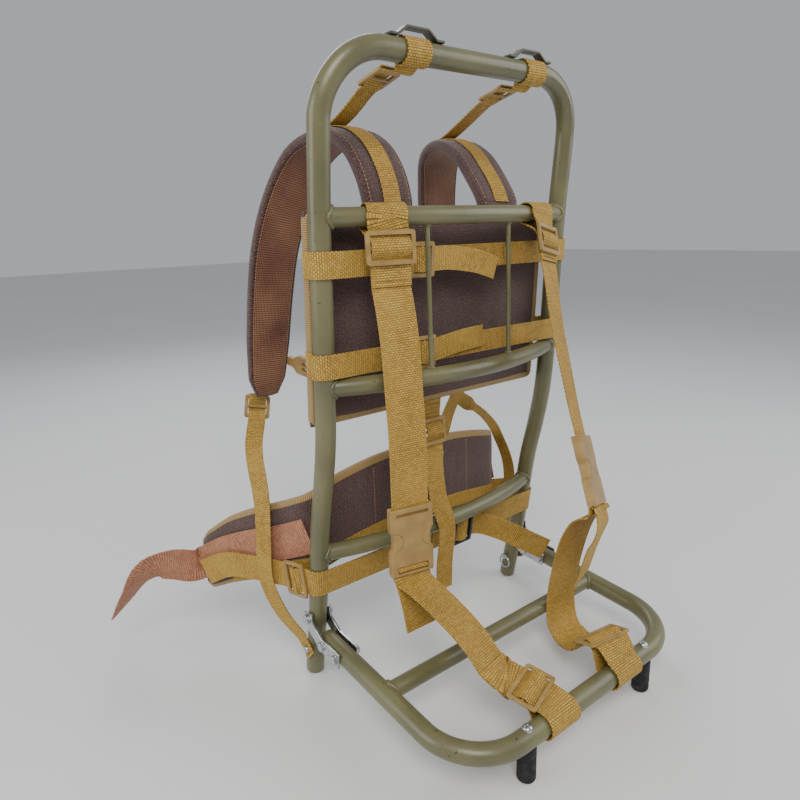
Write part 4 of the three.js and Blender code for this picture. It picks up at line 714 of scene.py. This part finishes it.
def weld_bead(bar_end, bar_way, rail_way, bar_radius, rail_radius, size):
    """The weld round a bar where it meets a rail: a rippled bead on their saddle."""
    third = bar_way.cross(rail_way).normalized()
    second = third.cross(bar_way).normalized()
    points, wides = [], []
    for i in range(BEAD_STEPS):
        angle = 2 * math.pi * i / BEAD_STEPS
        sideways = bar_radius * math.sin(angle)
        reach = math.sqrt(max(rail_radius ** 2 - sideways ** 2, 0))
        points.append(bar_end + bar_way * (reach + size * 0.25) + second * bar_radius * math.cos(angle)
                      + third * sideways)
        # 22 ripples round the bead, and a slower unevenness
        wides.append(1 + 0.14 * math.sin(angle * 22) + 0.1 * math.sin(angle * 5 + 1))
    sides = [point - bar_end - bar_way * (point - bar_end).dot(bar_way) for point in points]
    stations = [Station(point, (points[(i + 1) % BEAD_STEPS] - points[i - 1]).normalized(), sides[i],
                        wides[i], wides[i]) for i, point in enumerate(points)]
    return sweep(ring_section(size, 10), stations, closed=True)


def build_frame():
    parts = [sweep(ring_section(RAIL, 36), tube_ends(route(hoop_line(), Y), RAIL))]
    for height, bow in CROSSBARS.values():
        line = [cross_point(HALF_SPACING * (2 * i / 48 - 1), height, bow) for i in range(49)]
        parts.append(sweep(ring_section(CROSS, 32), route(line, Z)))
        for hand in (-1, 1):
            start = rail_point(hand, height)
            inward = (cross_point(hand * (HALF_SPACING - 8), height, bow) - start).normalized()
            lean = (rail_point(hand, height + 10) - rail_point(hand, height - 10)).normalized()
            parts.append(weld_bead(start, inward, lean, CROSS, RAIL, BAR_WELD))
    for hand in (-1, 1):
        top = cross_point(hand * ROD_PLACE, *CROSSBARS["upper"])
        bottom = cross_point(hand * ROD_PLACE, *CROSSBARS["middle"])
        line = [bottom.lerp(top, i / 12) for i in range(13)]
        parts.append(sweep(ring_section(ROD, 16), route(line, X)))
        for end, way in ((top, bottom - top), (bottom, top - bottom)):
            parts.append(weld_bead(end, way.normalized(), X, ROD, CROSS, ROD_WELD))
    finished("frame_tubes", gather(*parts), OLIVE, "frame", 50)


def shelf_point(x, y):
    """A point on the shelf tube's middle plane, which rises from its front to the rails."""
    return Vector((x, y, SHELF_FRONT + SHELF_RISE * (1 + y / SHELF_REACH)))


SHELF_BACK = rail_y(SHELF_FRONT + SHELF_RISE) - RAIL - SHELF_GAP


def build_shelf():
    left = [shelf_point(-HALF_SPACING, SHELF_BACK + (-SHELF_REACH + SHELF_CORNER - SHELF_BACK) * i / 12)
            for i in range(12)]
    for i in range(19):
        angle = i / 18 * math.pi / 2
        left.append(shelf_point(-HALF_SPACING + SHELF_CORNER * (1 - math.cos(angle)),
                                -SHELF_REACH + SHELF_CORNER * (1 - math.sin(angle))))
    line = left + [Vector((-point.x, point.y, point.z)) for point in reversed(left)]
    parts = [sweep(ring_section(RAIL, 36), tube_ends(route(line, Z), RAIL))]
    ends = [shelf_point(hand * HALF_SPACING, -SHELF_BAR) for hand in (-1, 1)]
    bar = [ends[0].lerp(ends[1], i / 16) for i in range(17)]
    parts.append(sweep(ring_section(CROSS, 32), route(bar, Z)))
    for end, hand in zip(ends, (-1, 1)):
        parts.append(weld_bead(end, X * -hand, Y, CROSS, RAIL, BAR_WELD))
    finished("shelf_tubes", gather(*parts), OLIVE, "shelf", 50)


def build_leg(hand, side):
    centre = shelf_point(hand * LEG_PLACE, -SHELF_REACH)
    # Radius and height: a rounded foot, a groove at 10 to 12 mm, and a top that reaches into the tube
    top = centre.z - RAIL + 5
    profile = [(0, 0), (LEG_RADIUS - 2.5, 0), (LEG_RADIUS - 0.8, 0.8), (LEG_RADIUS, 2.6), (LEG_RADIUS, 9),
               (LEG_RADIUS - 0.8, 10), (LEG_RADIUS - 0.8, 12), (LEG_RADIUS, 13), (LEG_RADIUS, top - 1),
               (LEG_RADIUS - 1, top), (0, top)]
    shape = turned(profile, Vector((centre.x, centre.y, 0)), Z, 40)
    finished(f"leg_{side}", shape, RUBBER, f"shelf_leg_{side}", 35)
    # A domed screw head on the tube, with its socket
    base = centre.z + RAIL
    dome = [(0, base - 3), (6.2, base - 3), (6.2, base + 0.8), (5.6, base + 2.2), (4.2, base + 3.4),
            (2, base + 4), (1.2, base + 4), (1.2, base + 3), (0, base + 3)]
    finished(f"leg_screw_{side}", turned(dome, Vector((centre.x, centre.y, 0)), Z), ZINC, f"leg_bolt_{side}",
             30)


# Hinges and small metal

# How edges are rounded: one facet along the plates' and bolts' sharp corners, and more on the bent strip
PRESSED = {"width": 0.4, "segments": 1, "angle": 60, "join": False}
STRIP_EDGE = 0.7


def build_metal(hand, side):
    for face in ("inner", "outer"):
        node = f"hinge_plate_{side}_{face}"
        finished(f"{node}_pressed", softened(node, **PRESSED), ZINC, node, FACETED)
    bolt = f"hinge_bolt_{side}"
    finished(f"hinge_pin_{side}", softened(bolt, **PRESSED), ZINC, bolt, FACETED)
    build_tether(hand, side)
    strip = softened(f"lashing_loop_{side}", STRIP_EDGE)
    finished(f"lashing_strip_{side}", strip, DARK, f"lashing_loop_{side}", FACETED)


# The split ring's radius, its wire's radius, and the steps in each of its two turns
SPLIT_RADIUS, SPLIT_WIRE, SPLIT_STEPS = 10.5, 1.0, 48


def build_tether(hand, side):
    """A pin through the foot, with a washer and head outside and a split ring inside."""
    centre = rail_point(hand, TETHER_HEIGHT)
    outward = X * hand
    # Radius and place along the pin, outward: the shank with its washer and domed head, and the inner head
    shank = [(0, -16), (2.5, -16), (2.5, 15), (5.4, 15), (5.4, 17.4), (4.6, 18.6), (3, 19.2), (0, 19.4)]
    head = [(0, -19.4), (4.4, -19.4), (5.2, -18.6), (5.2, -16.6), (0, -16.6)]
    parts = [turned(profile, centre, outward, 24) for profile in (shank, head)]
    inner = centre - outward * 15.8
    ring = []
    for i in range(2 * SPLIT_STEPS + 1):
        angle = i / SPLIT_STEPS * 2 * math.pi
        ring.append(inner + Vector((hand * SPLIT_WIRE * 0.8 * (i / SPLIT_STEPS - 1),
                                    -SPLIT_RADIUS * math.sin(angle), -SPLIT_RADIUS * (1 - math.cos(angle)))))
    parts.append(sweep(ring_section(SPLIT_WIRE, 10), route(ring, X)))
    finished(f"foot_pin_{side}", gather(*parts), ZINC, f"tether_pin_{side}", 35)


# Webbing

# Each strap's width and thickness, and the narrowest share of its width where it tapers
STRAPS = {
    "load_strap_left": (50, 2), "load_strap_right": (50, 2), "shelf_strap_left": (50, 2),
    "shelf_strap_right": (50, 2), "load_lifter_left": (25, 2), "load_lifter_right": (25, 2),
    "lifter_loop_left": (34, 2, 0.7), "lifter_loop_right": (34, 2, 0.7), "adjuster_strap_left": (25, 2),
    "adjuster_strap_right": (25, 2), "side_strap_left": (38, 2), "side_strap_right": (38, 2),
    "centre_strap": (30, 2), "belt_hanger": (25, 2), "shoulder_strip_left": (25, 1.5),
    "shoulder_strip_right": (25, 1.5), "belt_web_left": (50, 2), "belt_web_right": (50, 2),
}


# Straps with a sewn end: 1 where it is the upper end, -1 where it is the lower one
SEWN_ENDS = {"load_strap_left": 1, "load_strap_right": 1, "load_lifter_left": -1, "load_lifter_right": -1,
             "adjuster_strap_left": -1, "adjuster_strap_right": -1, "centre_strap": 1}
# How far from a sewn end its two seams lie, their share of the strap's width, and their height over it
SEAM_PLACES, SEAM_SHARE, SEAM_RISE = (4, 20), 0.86, 0.1


def station_at(stations, far):
    """The first station at or past a distance along a route."""
    gone, k = 0.0, 0
    while gone < far:
        gone += (stations[k + 1].point - stations[k].point).length
        k += 1
    return stations[k]


def build_straps():
    for name, sizes in STRAPS.items():
        width, thickness = sizes[:2]
        stations = webbing_route(name, *sizes)
        copper = name.startswith("belt_web")
        shape = sweep(tape_section(width, thickness), finer(stations, 4))
        finished(f"{name}_webbing", shape, COPPER_WEBBING if copper else WEBBING, name,
                 50)
        if name in SEWN_ENDS:
            end = max((stations, stations[::-1]), key=lambda line: SEWN_ENDS[name] * line[0].point.z)
            end = finer(end, 8)
            rows = []
            for place in SEAM_PLACES:
                at = station_at(end, place)
                rows += [seam(at.spot(0, way * (thickness / 2 + SEAM_RISE)), at.across, at.along,
                              width * SEAM_SHARE) for way in (-1, 1)]
            finished(f"{name}_stitching", gather(*rows), DARK_THREAD)


# Bands round the rails

# The webbing's thickness and the room left round it; the band's turn round a rail; its weave through a lock
WEB, CLEAR = 2.0, 0.3
BAND_RADIUS = RAIL + CLEAR * 2 + WEB / 2
LOCK_BAR = 3.4
WEAVE = LOCK_BAR / 2 + CLEAR * 1.5 + WEB / 2
# The loose layer through a lock: places along the band from the lock's middle, and out from the lock
WEAVE_ROWS = [(-20, -WEAVE), (-12.4, -WEAVE), (-LOCK_BAR, WEAVE), (LOCK_BAR, WEAVE), (12.4, -WEAVE),
              (20, -WEAVE)]
PANEL_SHIFT, PANEL_HALF, PANEL_BOTTOM, PANEL_HEIGHT, PANEL_THICK = -10.0, 196.0, 372.0, 250.0, 18.0
PANEL_CORNER = 9.0
# Each band's height and width, the lock's place across, and its tail: along from the lock, out and down
BANDS = {
    "upper": (564.5, 30, -70, [(45, 3, 0), (85, 8, 6), (124, 5, 17)]),
    "lower": (450.5, 30, -64, [(40, 1, -3), (70, 3, -7), (104, 1, -8)]),
    "lumbar": (155, 38, 45, [(34, 3, 2), (55, 20, 10), (105, 78, 42)]),
}


def panel_y(height):
    """Where the back panel's middle lies at a height."""
    return rail_y(height) + RAIL + CLEAR + PANEL_THICK / 2


# The lumbar band's ends run through the side locks: their way out from the rail, and where their middle is
SIDE_WAY, SIDE_PLACE, SIDE_BARS = (0.22, 1, -0.1), 24, (4, 12.4, 20)
# Where a band's two seams lie, back from its lock, and their share of its width
BAND_SEAMS, BAND_SEAM_SHARE = (58, 42), 0.84


def build_band(name):
    height, width, lock, tail = BANDS[name]
    front = rail_y(height) - BAND_RADIUS
    lean = (rail_point(1, height + width / 4) - rail_point(1, height - width / 4)).normalized()
    ends = {}
    for hand in (-1, 1):
        centre = rail_point(hand, height)
        start = 60 if name != "lumbar" else 0
        around = []
        for i in range(19):
            angle = math.radians(start + (-90 - start) * i / 18)
            around.append(Vector((centre.x + hand * BAND_RADIUS * math.cos(angle),
                                  centre.y + BAND_RADIUS * math.sin(angle), height)))
        if name == "lumbar":
            x = centre.x + hand * (BAND_RADIUS + WEAVE)
            forward = Vector((hand * SIDE_WAY[0], *SIDE_WAY[1:])).normalized()
            origin = Vector((x, centre.y, height)) + forward * SIDE_PLACE
            out = lean.cross(forward).normalized()
            out = out if out.x * hand > 0 else -out
            before = [origin - forward * place + out * WEAVE * way
                      for place, way in zip(SIDE_BARS, (1, -1, -1))]
        else:
            edge = PANEL_SHIFT + hand * PANEL_HALF + hand * (CLEAR * 2 + WEB)
            before = smooth([Vector((edge, panel_y(height), height)), around[0]], 6)[:-1]
        ends[hand] = before + around
    across = [ends[-1][-1].lerp(ends[1][-1], i / 40) for i in range(1, 40)]
    line = ends[-1] + across + ends[1][::-1]
    main = sweep(tape_section(width, WEB), route(line, lean))
    plane = front - WEB - CLEAR - WEAVE
    # The loose layer starts under the band, weaves through the lock and ends in its tail
    rows = [Vector((lock - 36, front - 0.5, height)), Vector((lock - 28, front - 1, height))]
    rows += [Vector((lock + along, plane - rise, height)) for along, rise in WEAVE_ROWS]
    rows += [Vector((lock + along, front - WEB - CLEAR - out, height - down)) for along, out, down in tail]
    loose = sweep(tape_section(width, WEB), route(smooth(rows, 80), lean))
    finished(f"{name}_band_webbing", gather(main, loose), WEBBING, f"{name}_band", 50)
    rows = [seam(Vector((lock - back, front - WEB / 2 - 0.2, height)), lean, X, width * BAND_SEAM_SHARE)
            for back in BAND_SEAMS]
    finished(f"{name}_band_stitching", gather(*rows), DARK_THREAD)


# Buckles

# How far each moulded piece's edges are rounded
BUCKLES = {
    "load_buckle_left": 1.6, "load_buckle_right": 1.6, "load_glide_left": 1.2, "load_glide_right": 1.2,
    "shelf_glide_left": 1.2, "shelf_glide_right": 1.2, "upper_band_lock": 1.2, "lower_band_lock": 1.2,
    "lumbar_band_lock": 1.2, "lifter_lock_left": 1.2, "lifter_lock_right": 1.2, "adjuster_lock_left": 1.2,
    "adjuster_lock_right": 1.2, "side_lock_left": 1.2, "side_lock_right": 1.2, "centre_glide": 1.2,
    "sternum_clip_left": 1.0, "sternum_clip_right": 1.0,
}

LOAD_BUCKLE_LENGTH, LOAD_BUCKLE_WIDTH, LOAD_BUCKLE_THICK = 90.0, 58.0, 12.0
# The slots' length, width and twice their depth, and how far in from the buckle's ends they lie
UPPER_SLOT, LOWER_SLOT, UPPER_SLOT_IN, LOWER_SLOT_IN = (44, 4.5, 7), (42, 9.5, 7), 8, 8.5
# The rings round the release buttons: radius, the groove's radius and its steps
BUTTON_RADIUS, BUTTON_GROOVE, BUTTON_STEPS = 12, 0.9, 48
# The webbing's fold in the lower slot: in from the buckle's end, under its face, and its half width and rise
FOLD_END, FOLD_DEPTH, FOLD_HALF, FOLD_RISE = 8, 2.6, 3.6, 2.2


def carve_load_buckle(side, shape):
    """Cuts a side release buckle's two webbing slots and the rings round its release buttons."""
    low, high = [(corner - SHIFT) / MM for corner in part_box(f"load_buckle_{side}")]
    middle = (low + high) / 2
    strap = webbing_route(f"load_strap_{side}", *STRAPS[f"load_strap_{side}"])
    end = min((strap[0], strap[-1]), key=lambda station: (station.point - middle).length)
    along = (end.point - middle).normalized()
    across = (end.across - along * end.across.dot(along)).normalized()
    face = along.cross(across)
    face *= 1 if face.y < 0 else -1
    top = middle + face * LOAD_BUCKLE_THICK / 2
    axes = (across, along, face)
    half = LOAD_BUCKLE_LENGTH / 2
    cutters = [block(top + along * (half - UPPER_SLOT_IN), axes, UPPER_SLOT),
               block(top - along * (half - LOWER_SLOT_IN), axes, LOWER_SLOT)]
    for way in (-1, 1):
        centre = top + across * way * (LOAD_BUCKLE_WIDTH / 2 - 4) + along * 2
        turns = [2 * math.pi * i / BUTTON_STEPS for i in range(BUTTON_STEPS)]
        ring = [centre + (across * math.cos(angle) + along * math.sin(angle)) * BUTTON_RADIUS
                for angle in turns]
        cutters.append(sweep(ring_section(BUTTON_GROOVE, 8), [
            Station(point, (ring[(i + 1) % BUTTON_STEPS] - ring[i - 1]).normalized(), face)
            for i, point in enumerate(ring)], closed=True))
    # The webbing's fold round the buckle's bar, which shows in the lower slot
    fold = [top - along * (half - FOLD_END) - face * FOLD_DEPTH + across * x for x in (-20, -10, 0, 10, 20)]
    section = [(x * FOLD_HALF, y * FOLD_RISE) for x, y in ring_section(1, 20)]
    finished(f"load_buckle_{side}_fold", sweep(section, route(fold, along)), WEBBING)
    return carved(shape, cutters)


def build_buckles():
    for name, width in BUCKLES.items():
        black = name == "lumbar_band_lock"
        shape = softened(name, width, 3)
        if name.startswith("load_buckle"):
            shape = carve_load_buckle(name.split("_")[-1], shape)
        finished(f"{name}_moulded", shape, BLACK if black else TAN, name,
                 FACETED)


# Pads

PAD_WIDTH, PAD_THICK = 70.0, 16.0
# Down a pad from the panel, as shares: how far out, toward the wearer and up or down, and its width
PAD_ROUTE = [
    (0, 0, 0, 0.96), (0, 0, 0.1, 0.98), (0.03, 0.03, 0.45, 1), (0.08, 0.12, 0.8, 1), (0.14, 0.27, 0.985, 1),
    (0.23, 0.42, 0.95, 1), (0.38, 0.56, 0.78, 1), (0.56, 0.68, 0.4, 1), (0.72, 0.77, -0.03, 1),
    (0.83, 0.83, -0.2, 0.98), (0.9, 0.88, -0.4, 0.96), (0.96, 0.94, -0.68, 0.92), (1, 0.98, -0.9, 0.8),
    (1.01, 1, -1, 0.5),
]
# The power of each pad's reach: the smaller it is, the sooner the pad comes out to the wearer
PAD_SWING = {"left": 0.9, "right": 0.64}
# A pad's start from the middle; how far it spreads, reaches to the wearer, rises and falls; its steps
PAD_START, PAD_SPREAD, PAD_REACH, PAD_RISE, PAD_FALL, PAD_STEPS = 93, 72, 215, 92, 252, 110
# The stitch rows' place across the pad, and how far out of its middle they lie, as a share of its thickness
PAD_SEAM, PAD_SEAM_OUT = 29.4, 0.44


def pad_route(hand, side):
    base = PANEL_BOTTOM + PANEL_HEIGHT + CLEAR * 2
    points = [Vector((hand * (PAD_START + outer * PAD_SPREAD),
                      panel_y(base) - 4 + reach ** PAD_SWING[side] * PAD_REACH,
                      base + rise * (PAD_RISE if rise > 0 else PAD_FALL)))
              for outer, reach, rise, _ in PAD_ROUTE]
    places = [i / PAD_STEPS * (len(PAD_ROUTE) - 1) for i in range(PAD_STEPS + 1)]
    wides = [between([row[3] for row in PAD_ROUTE], place) for place in places]
    # The pad thins to 0.45 of its thickness where it narrows to half its width
    thicks = [0.45 + 0.55 * min(1, (wide - 0.5) / 0.4) for wide in wides]
    return route(smooth(points, PAD_STEPS), X * hand, wides, thicks)


# How far inside the edge a binding's route runs; then how far each reaches in and how proud it stands
FOLD_IN = 1.0
PAD_BINDING, PANEL_BINDING, BELT_BINDING = (4.5, 0.7), (8.5, 2.0), (8, 0.8)


def bind(stations, width):
    """The binding's route: down one edge, round the end and up the other."""
    half = width / 2 - FOLD_IN
    down = [Station(station.spot(half, 0), station.along, station.face, station.thick, station.wide)
            for station in stations]
    back = [Station(station.spot(-half, 0), -station.along, station.face, station.thick, station.wide)
            for station in reversed(stations)]
    turn = smooth([down[-2].point, down[-1].point, back[0].point, back[1].point], 9)[3:-3]
    corner = [Station(point, (back[0].point - down[-1].point).normalized(), stations[-1].face,
                      stations[-1].thick, 1) for point in turn]
    return down + corner + back


def binding_section(width, thickness, reach, proud):
    """Binding tape folded over an edge: it follows the pad's own profile, and stands proud of it."""
    rows = [(thickness / 2 * fullness(inward / (width / 2)) + proud, inward - FOLD_IN)
            for inward in (reach, reach * 0.75, reach * 0.45, reach * 0.2, 0.6, 0)]
    # Its inner rim is thin, and its fold is rounded past the pad's edge
    rows[0] = (rows[0][0] - proud * 0.7, rows[0][1])
    rows[-1] = (rows[-1][0] * 0.6, -1.8)
    return rows + [(-x, y) for x, y in reversed(rows)]


def build_pad(hand, side):
    stations = pad_route(hand, side)
    # The face that looks up near the crest is the cloth one
    outward = 1 if stations[30].face.z > 0 else -1
    section = pad_section(PAD_WIDTH, PAD_THICK)
    half = len(section) // 2

    def inner(columns):
        return int(all(column >= half if outward > 0 else column < half for column in columns))

    shape = sweep(section, stations, faces=inner)
    name = f"shoulder_pad_{side}"
    piece = finished(f"{name}_cover", shape, [OXFORD, MESH], name, 60)
    tape = sweep(binding_section(PAD_WIDTH, PAD_THICK, *PAD_BINDING), bind(stations, PAD_WIDTH))
    finished(f"{name}_binding", tape, OXFORD, sharp=60)
    rows = [stitches(stations[2:-4], x, way * PAD_THICK * PAD_SEAM_OUT) for x in (-PAD_SEAM, PAD_SEAM)
            for way in (outward, -outward)]
    finished(f"{name}_stitching", gather(*rows), BROWN_THREAD)


def rounded_rectangle(half, rise, corner, bends=8, steps=24):
    """Places round a rectangle with round corners, from its right side up and over."""
    edge = []
    quarters = ((1, 1), (-1, 1), (-1, -1), (1, -1))
    for k, (right, up) in enumerate(quarters):
        for i in range(bends + 1):
            angle = math.pi / 2 * (k + i / bends)
            edge.append((right * (half - corner) + corner * math.cos(angle),
                         up * (rise - corner) + corner * math.sin(angle)))
        right, up = quarters[(k + 1) % 4]
        start, end = edge[-1], (right * (half - corner) + corner * math.cos(math.pi / 2 * (k + 1)),
                                up * (rise - corner) + corner * math.sin(math.pi / 2 * (k + 1)))
        edge += [(start[0] + (end[0] - start[0]) * i / steps, start[1] + (end[1] - start[1]) * i / steps)
                 for i in range(1, steps)]
    return edge


def build_panel():
    heights = [PANEL_BOTTOM + PANEL_HEIGHT * i / 40 for i in range(41)]
    line = [Vector((PANEL_SHIFT, panel_y(height), height)) for height in heights]
    # Thinner toward its upper and lower edges
    thicks = [min(1, 0.45 + 0.55 * (min(i, 40 - i) / 4) ** 0.5) for i in range(41)]
    stations = route(line, X, None, thicks)
    shape = sweep(pad_section(PANEL_HALF * 2, PANEL_THICK, 41), stations)
    piece = finished("back_panel_cover", shape, OXFORD, "back_panel", 60)
    edge = rounded_rectangle(PANEL_HALF - FOLD_IN, PANEL_HEIGHT / 2 - FOLD_IN, PANEL_CORNER)
    middle = PANEL_BOTTOM + PANEL_HEIGHT / 2
    points = [Vector((PANEL_SHIFT + x, panel_y(middle + z), middle + z)) for x, z in edge]
    tape = sweep(binding_section(PANEL_HALF * 2, PANEL_THICK, *PANEL_BINDING), [
        Station(point, (points[(i + 1) % len(points)] - points[i - 1]).normalized(), Y)
        for i, point in enumerate(points)], closed=True)
    finished("back_panel_binding", tape, BINDING, sharp=60)


# From the left tip to the right one, shares of BELT_FLAT and BELT_WING to the right, of BELT_WING to the
# wearer, of BELT_DROP down, and of BELT_HEIGHT for the width there
BELT_ROWS = [
    (-1, -0.71, 0.98, 0.8, 0.58), (-1, -0.68, 0.92, 0.76, 0.74), (-1, -0.578, 0.7, 0.57, 0.83),
    (-1, -0.45, 0.45, 0.42, 0.88), (-1, -0.32, 0.21, 0.3, 0.91), (-1, -0.22, 0.05, 0.2, 0.94),
    (-1, 0, 0, 0.08, 0.98), (-0.5, 0, 0, 0, 1), (0.4, 0, 0, 0, 1), (0.9, 0, 0.02, 0.08, 0.95),
    (1, 0.05, 0.14, 0.16, 0.93), (1, 0.14, 0.36, 0.32, 0.9), (1, 0.23, 0.62, 0.52, 0.86),
    (1, 0.29, 0.88, 0.72, 0.76), (1, 0.3, 0.97, 0.78, 0.58),
]
BELT_HEIGHT, BELT_THICK, BELT_FLAT, BELT_WING, BELT_PLACE = 124.0, 14.0, 150.0, 180.0, 235.0
BELT_DROP, BELT_STEPS = 130.0, 112
BELT_HEM, BELT_HEM_THICK, BELT_SEAMS = 22.0, 1.6, (-92.0, 20.0, 84.0, 140.0)


def build_belt():
    near = rail_y(BELT_PLACE - BELT_HEIGHT / 2) + RAIL + CLEAR * 2 + BELT_THICK / 2
    points = [Vector((flat * BELT_FLAT + x * BELT_WING, near + y * BELT_WING, BELT_PLACE - drop * BELT_DROP))
              for flat, x, y, drop, _ in BELT_ROWS]
    places = [i / BELT_STEPS * (len(points) - 1) for i in range(BELT_STEPS + 1)]
    highs = [between([row[4] for row in BELT_ROWS], place) for place in places]
    # The tips thin to 0.55 of the belt's thickness
    thicks = [0.55 + 0.45 * min(1, (high - BELT_ROWS[0][4]) / 0.16) for high in highs]
    line = smooth(points, BELT_STEPS)
    stations = []
    for i, point in enumerate(line):
        way = line[min(i + 1, BELT_STEPS)] - line[max(i - 1, 0)]
        flat = Vector((way.x, way.y, 0)).normalized()
        stations.append(Station(point, flat, Z, highs[i], thicks[i]))
    shape = sweep(pad_section(BELT_HEIGHT, BELT_THICK, 21), stations)
    piece = finished("hip_belt_cover", shape, OXFORD, "hip_belt", 60)
    tape = sweep(binding_section(BELT_HEIGHT, BELT_THICK, *BELT_BINDING), bind(stations, BELT_HEIGHT))
    finished("hip_belt_binding", tape, BINDING, sharp=60)
    # A hem of webbing along the lower edge, between the wings' tips
    low = [Station(station.spot(-BELT_HEIGHT / 2 + BELT_HEM / 2 + 5, BELT_THICK / 2 + 0.4), station.along, Z)
           for station in stations[16:-14]]
    hem = sweep(tape_section(BELT_HEM, BELT_HEM_THICK), low)
    finished("hip_belt_hem", hem, WEBBING, sharp=50)
    seams = []
    for place in BELT_SEAMS:
        station = min(stations, key=lambda other: abs(other.point.x - place))
        rise = [station.spot(BELT_HEIGHT * (i / 40 - 0.5) * 0.9, BELT_THICK / 2 + 0.1) for i in range(6, 40)]
        seams.append(stitches([Station(point, Z, X) for point in rise], 0, 0))
    finished("hip_belt_stitching", gather(*seams), BROWN_THREAD)


build_frame()
build_shelf()
for hand, side in ((-1, "left"), (1, "right")):
    build_leg(hand, side)
    build_metal(hand, side)
    build_pad(hand, side)
build_straps()
for band in BANDS:
    build_band(band)
build_buckles()
build_panel()
build_belt()


# Studio

# Soft square lamps round the pack: place and size in m, power in W, and colour
LAMPS = {
    "key": ((-1.0, -1.5, 2.1), 1.2, 42, "#FFF9F0"), "side": ((-1.9, 0.5, 1.0), 1.2, 16, "#FFFFFF"),
    "fill": ((1.6, -1.1, 1.3), 1.4, 16, "#FFFFFF"), "back": ((0.6, 1.9, 1.9), 1.4, 18, "#FFFFFF"),
}
AIM = Vector((0, 0, 0.4))
SKY, SKY_STRENGTH = "#E4E8EE", 0.55
FLOOR_HALF, FLOOR_DROP = 12, 0.0005


def add_light(name, spot, size, power, colour):
    light = bpy.data.lights.new(name, "AREA")
    light.size = size
    light.energy = power
    light.color = linear(colour)[:3]
    lamp = bpy.data.objects.new(name, light)
    turn = (AIM - Vector(spot)).to_track_quat("-Z", "Y").to_matrix().to_4x4()
    lamp.matrix_world = Matrix.Translation(spot) @ turn
    bpy.context.scene.collection.objects.link(lamp)


def add_studio():
    shape = bmesh.new()
    bmesh.ops.create_grid(shape, x_segments=2, y_segments=2, size=FLOOR_HALF)
    bmesh.ops.translate(shape, verts=shape.verts, vec=(0, 0, -FLOOR_DROP))
    mesh = bpy.data.meshes.new("floor")
    shape.to_mesh(mesh)
    shape.free()
    mesh.materials.append(floor_paper())
    floor = bpy.data.objects.new("floor", mesh)
    bpy.context.scene.collection.objects.link(floor)
    world = bpy.data.worlds.new("studio")
    world.use_nodes = True
    world.node_tree.nodes["Background"].inputs[0].default_value = linear(SKY)
    world.node_tree.nodes["Background"].inputs[1].default_value = SKY_STRENGTH
    bpy.context.scene.world = world
    for name, values in LAMPS.items():
        add_light(name, *values)


add_studio()
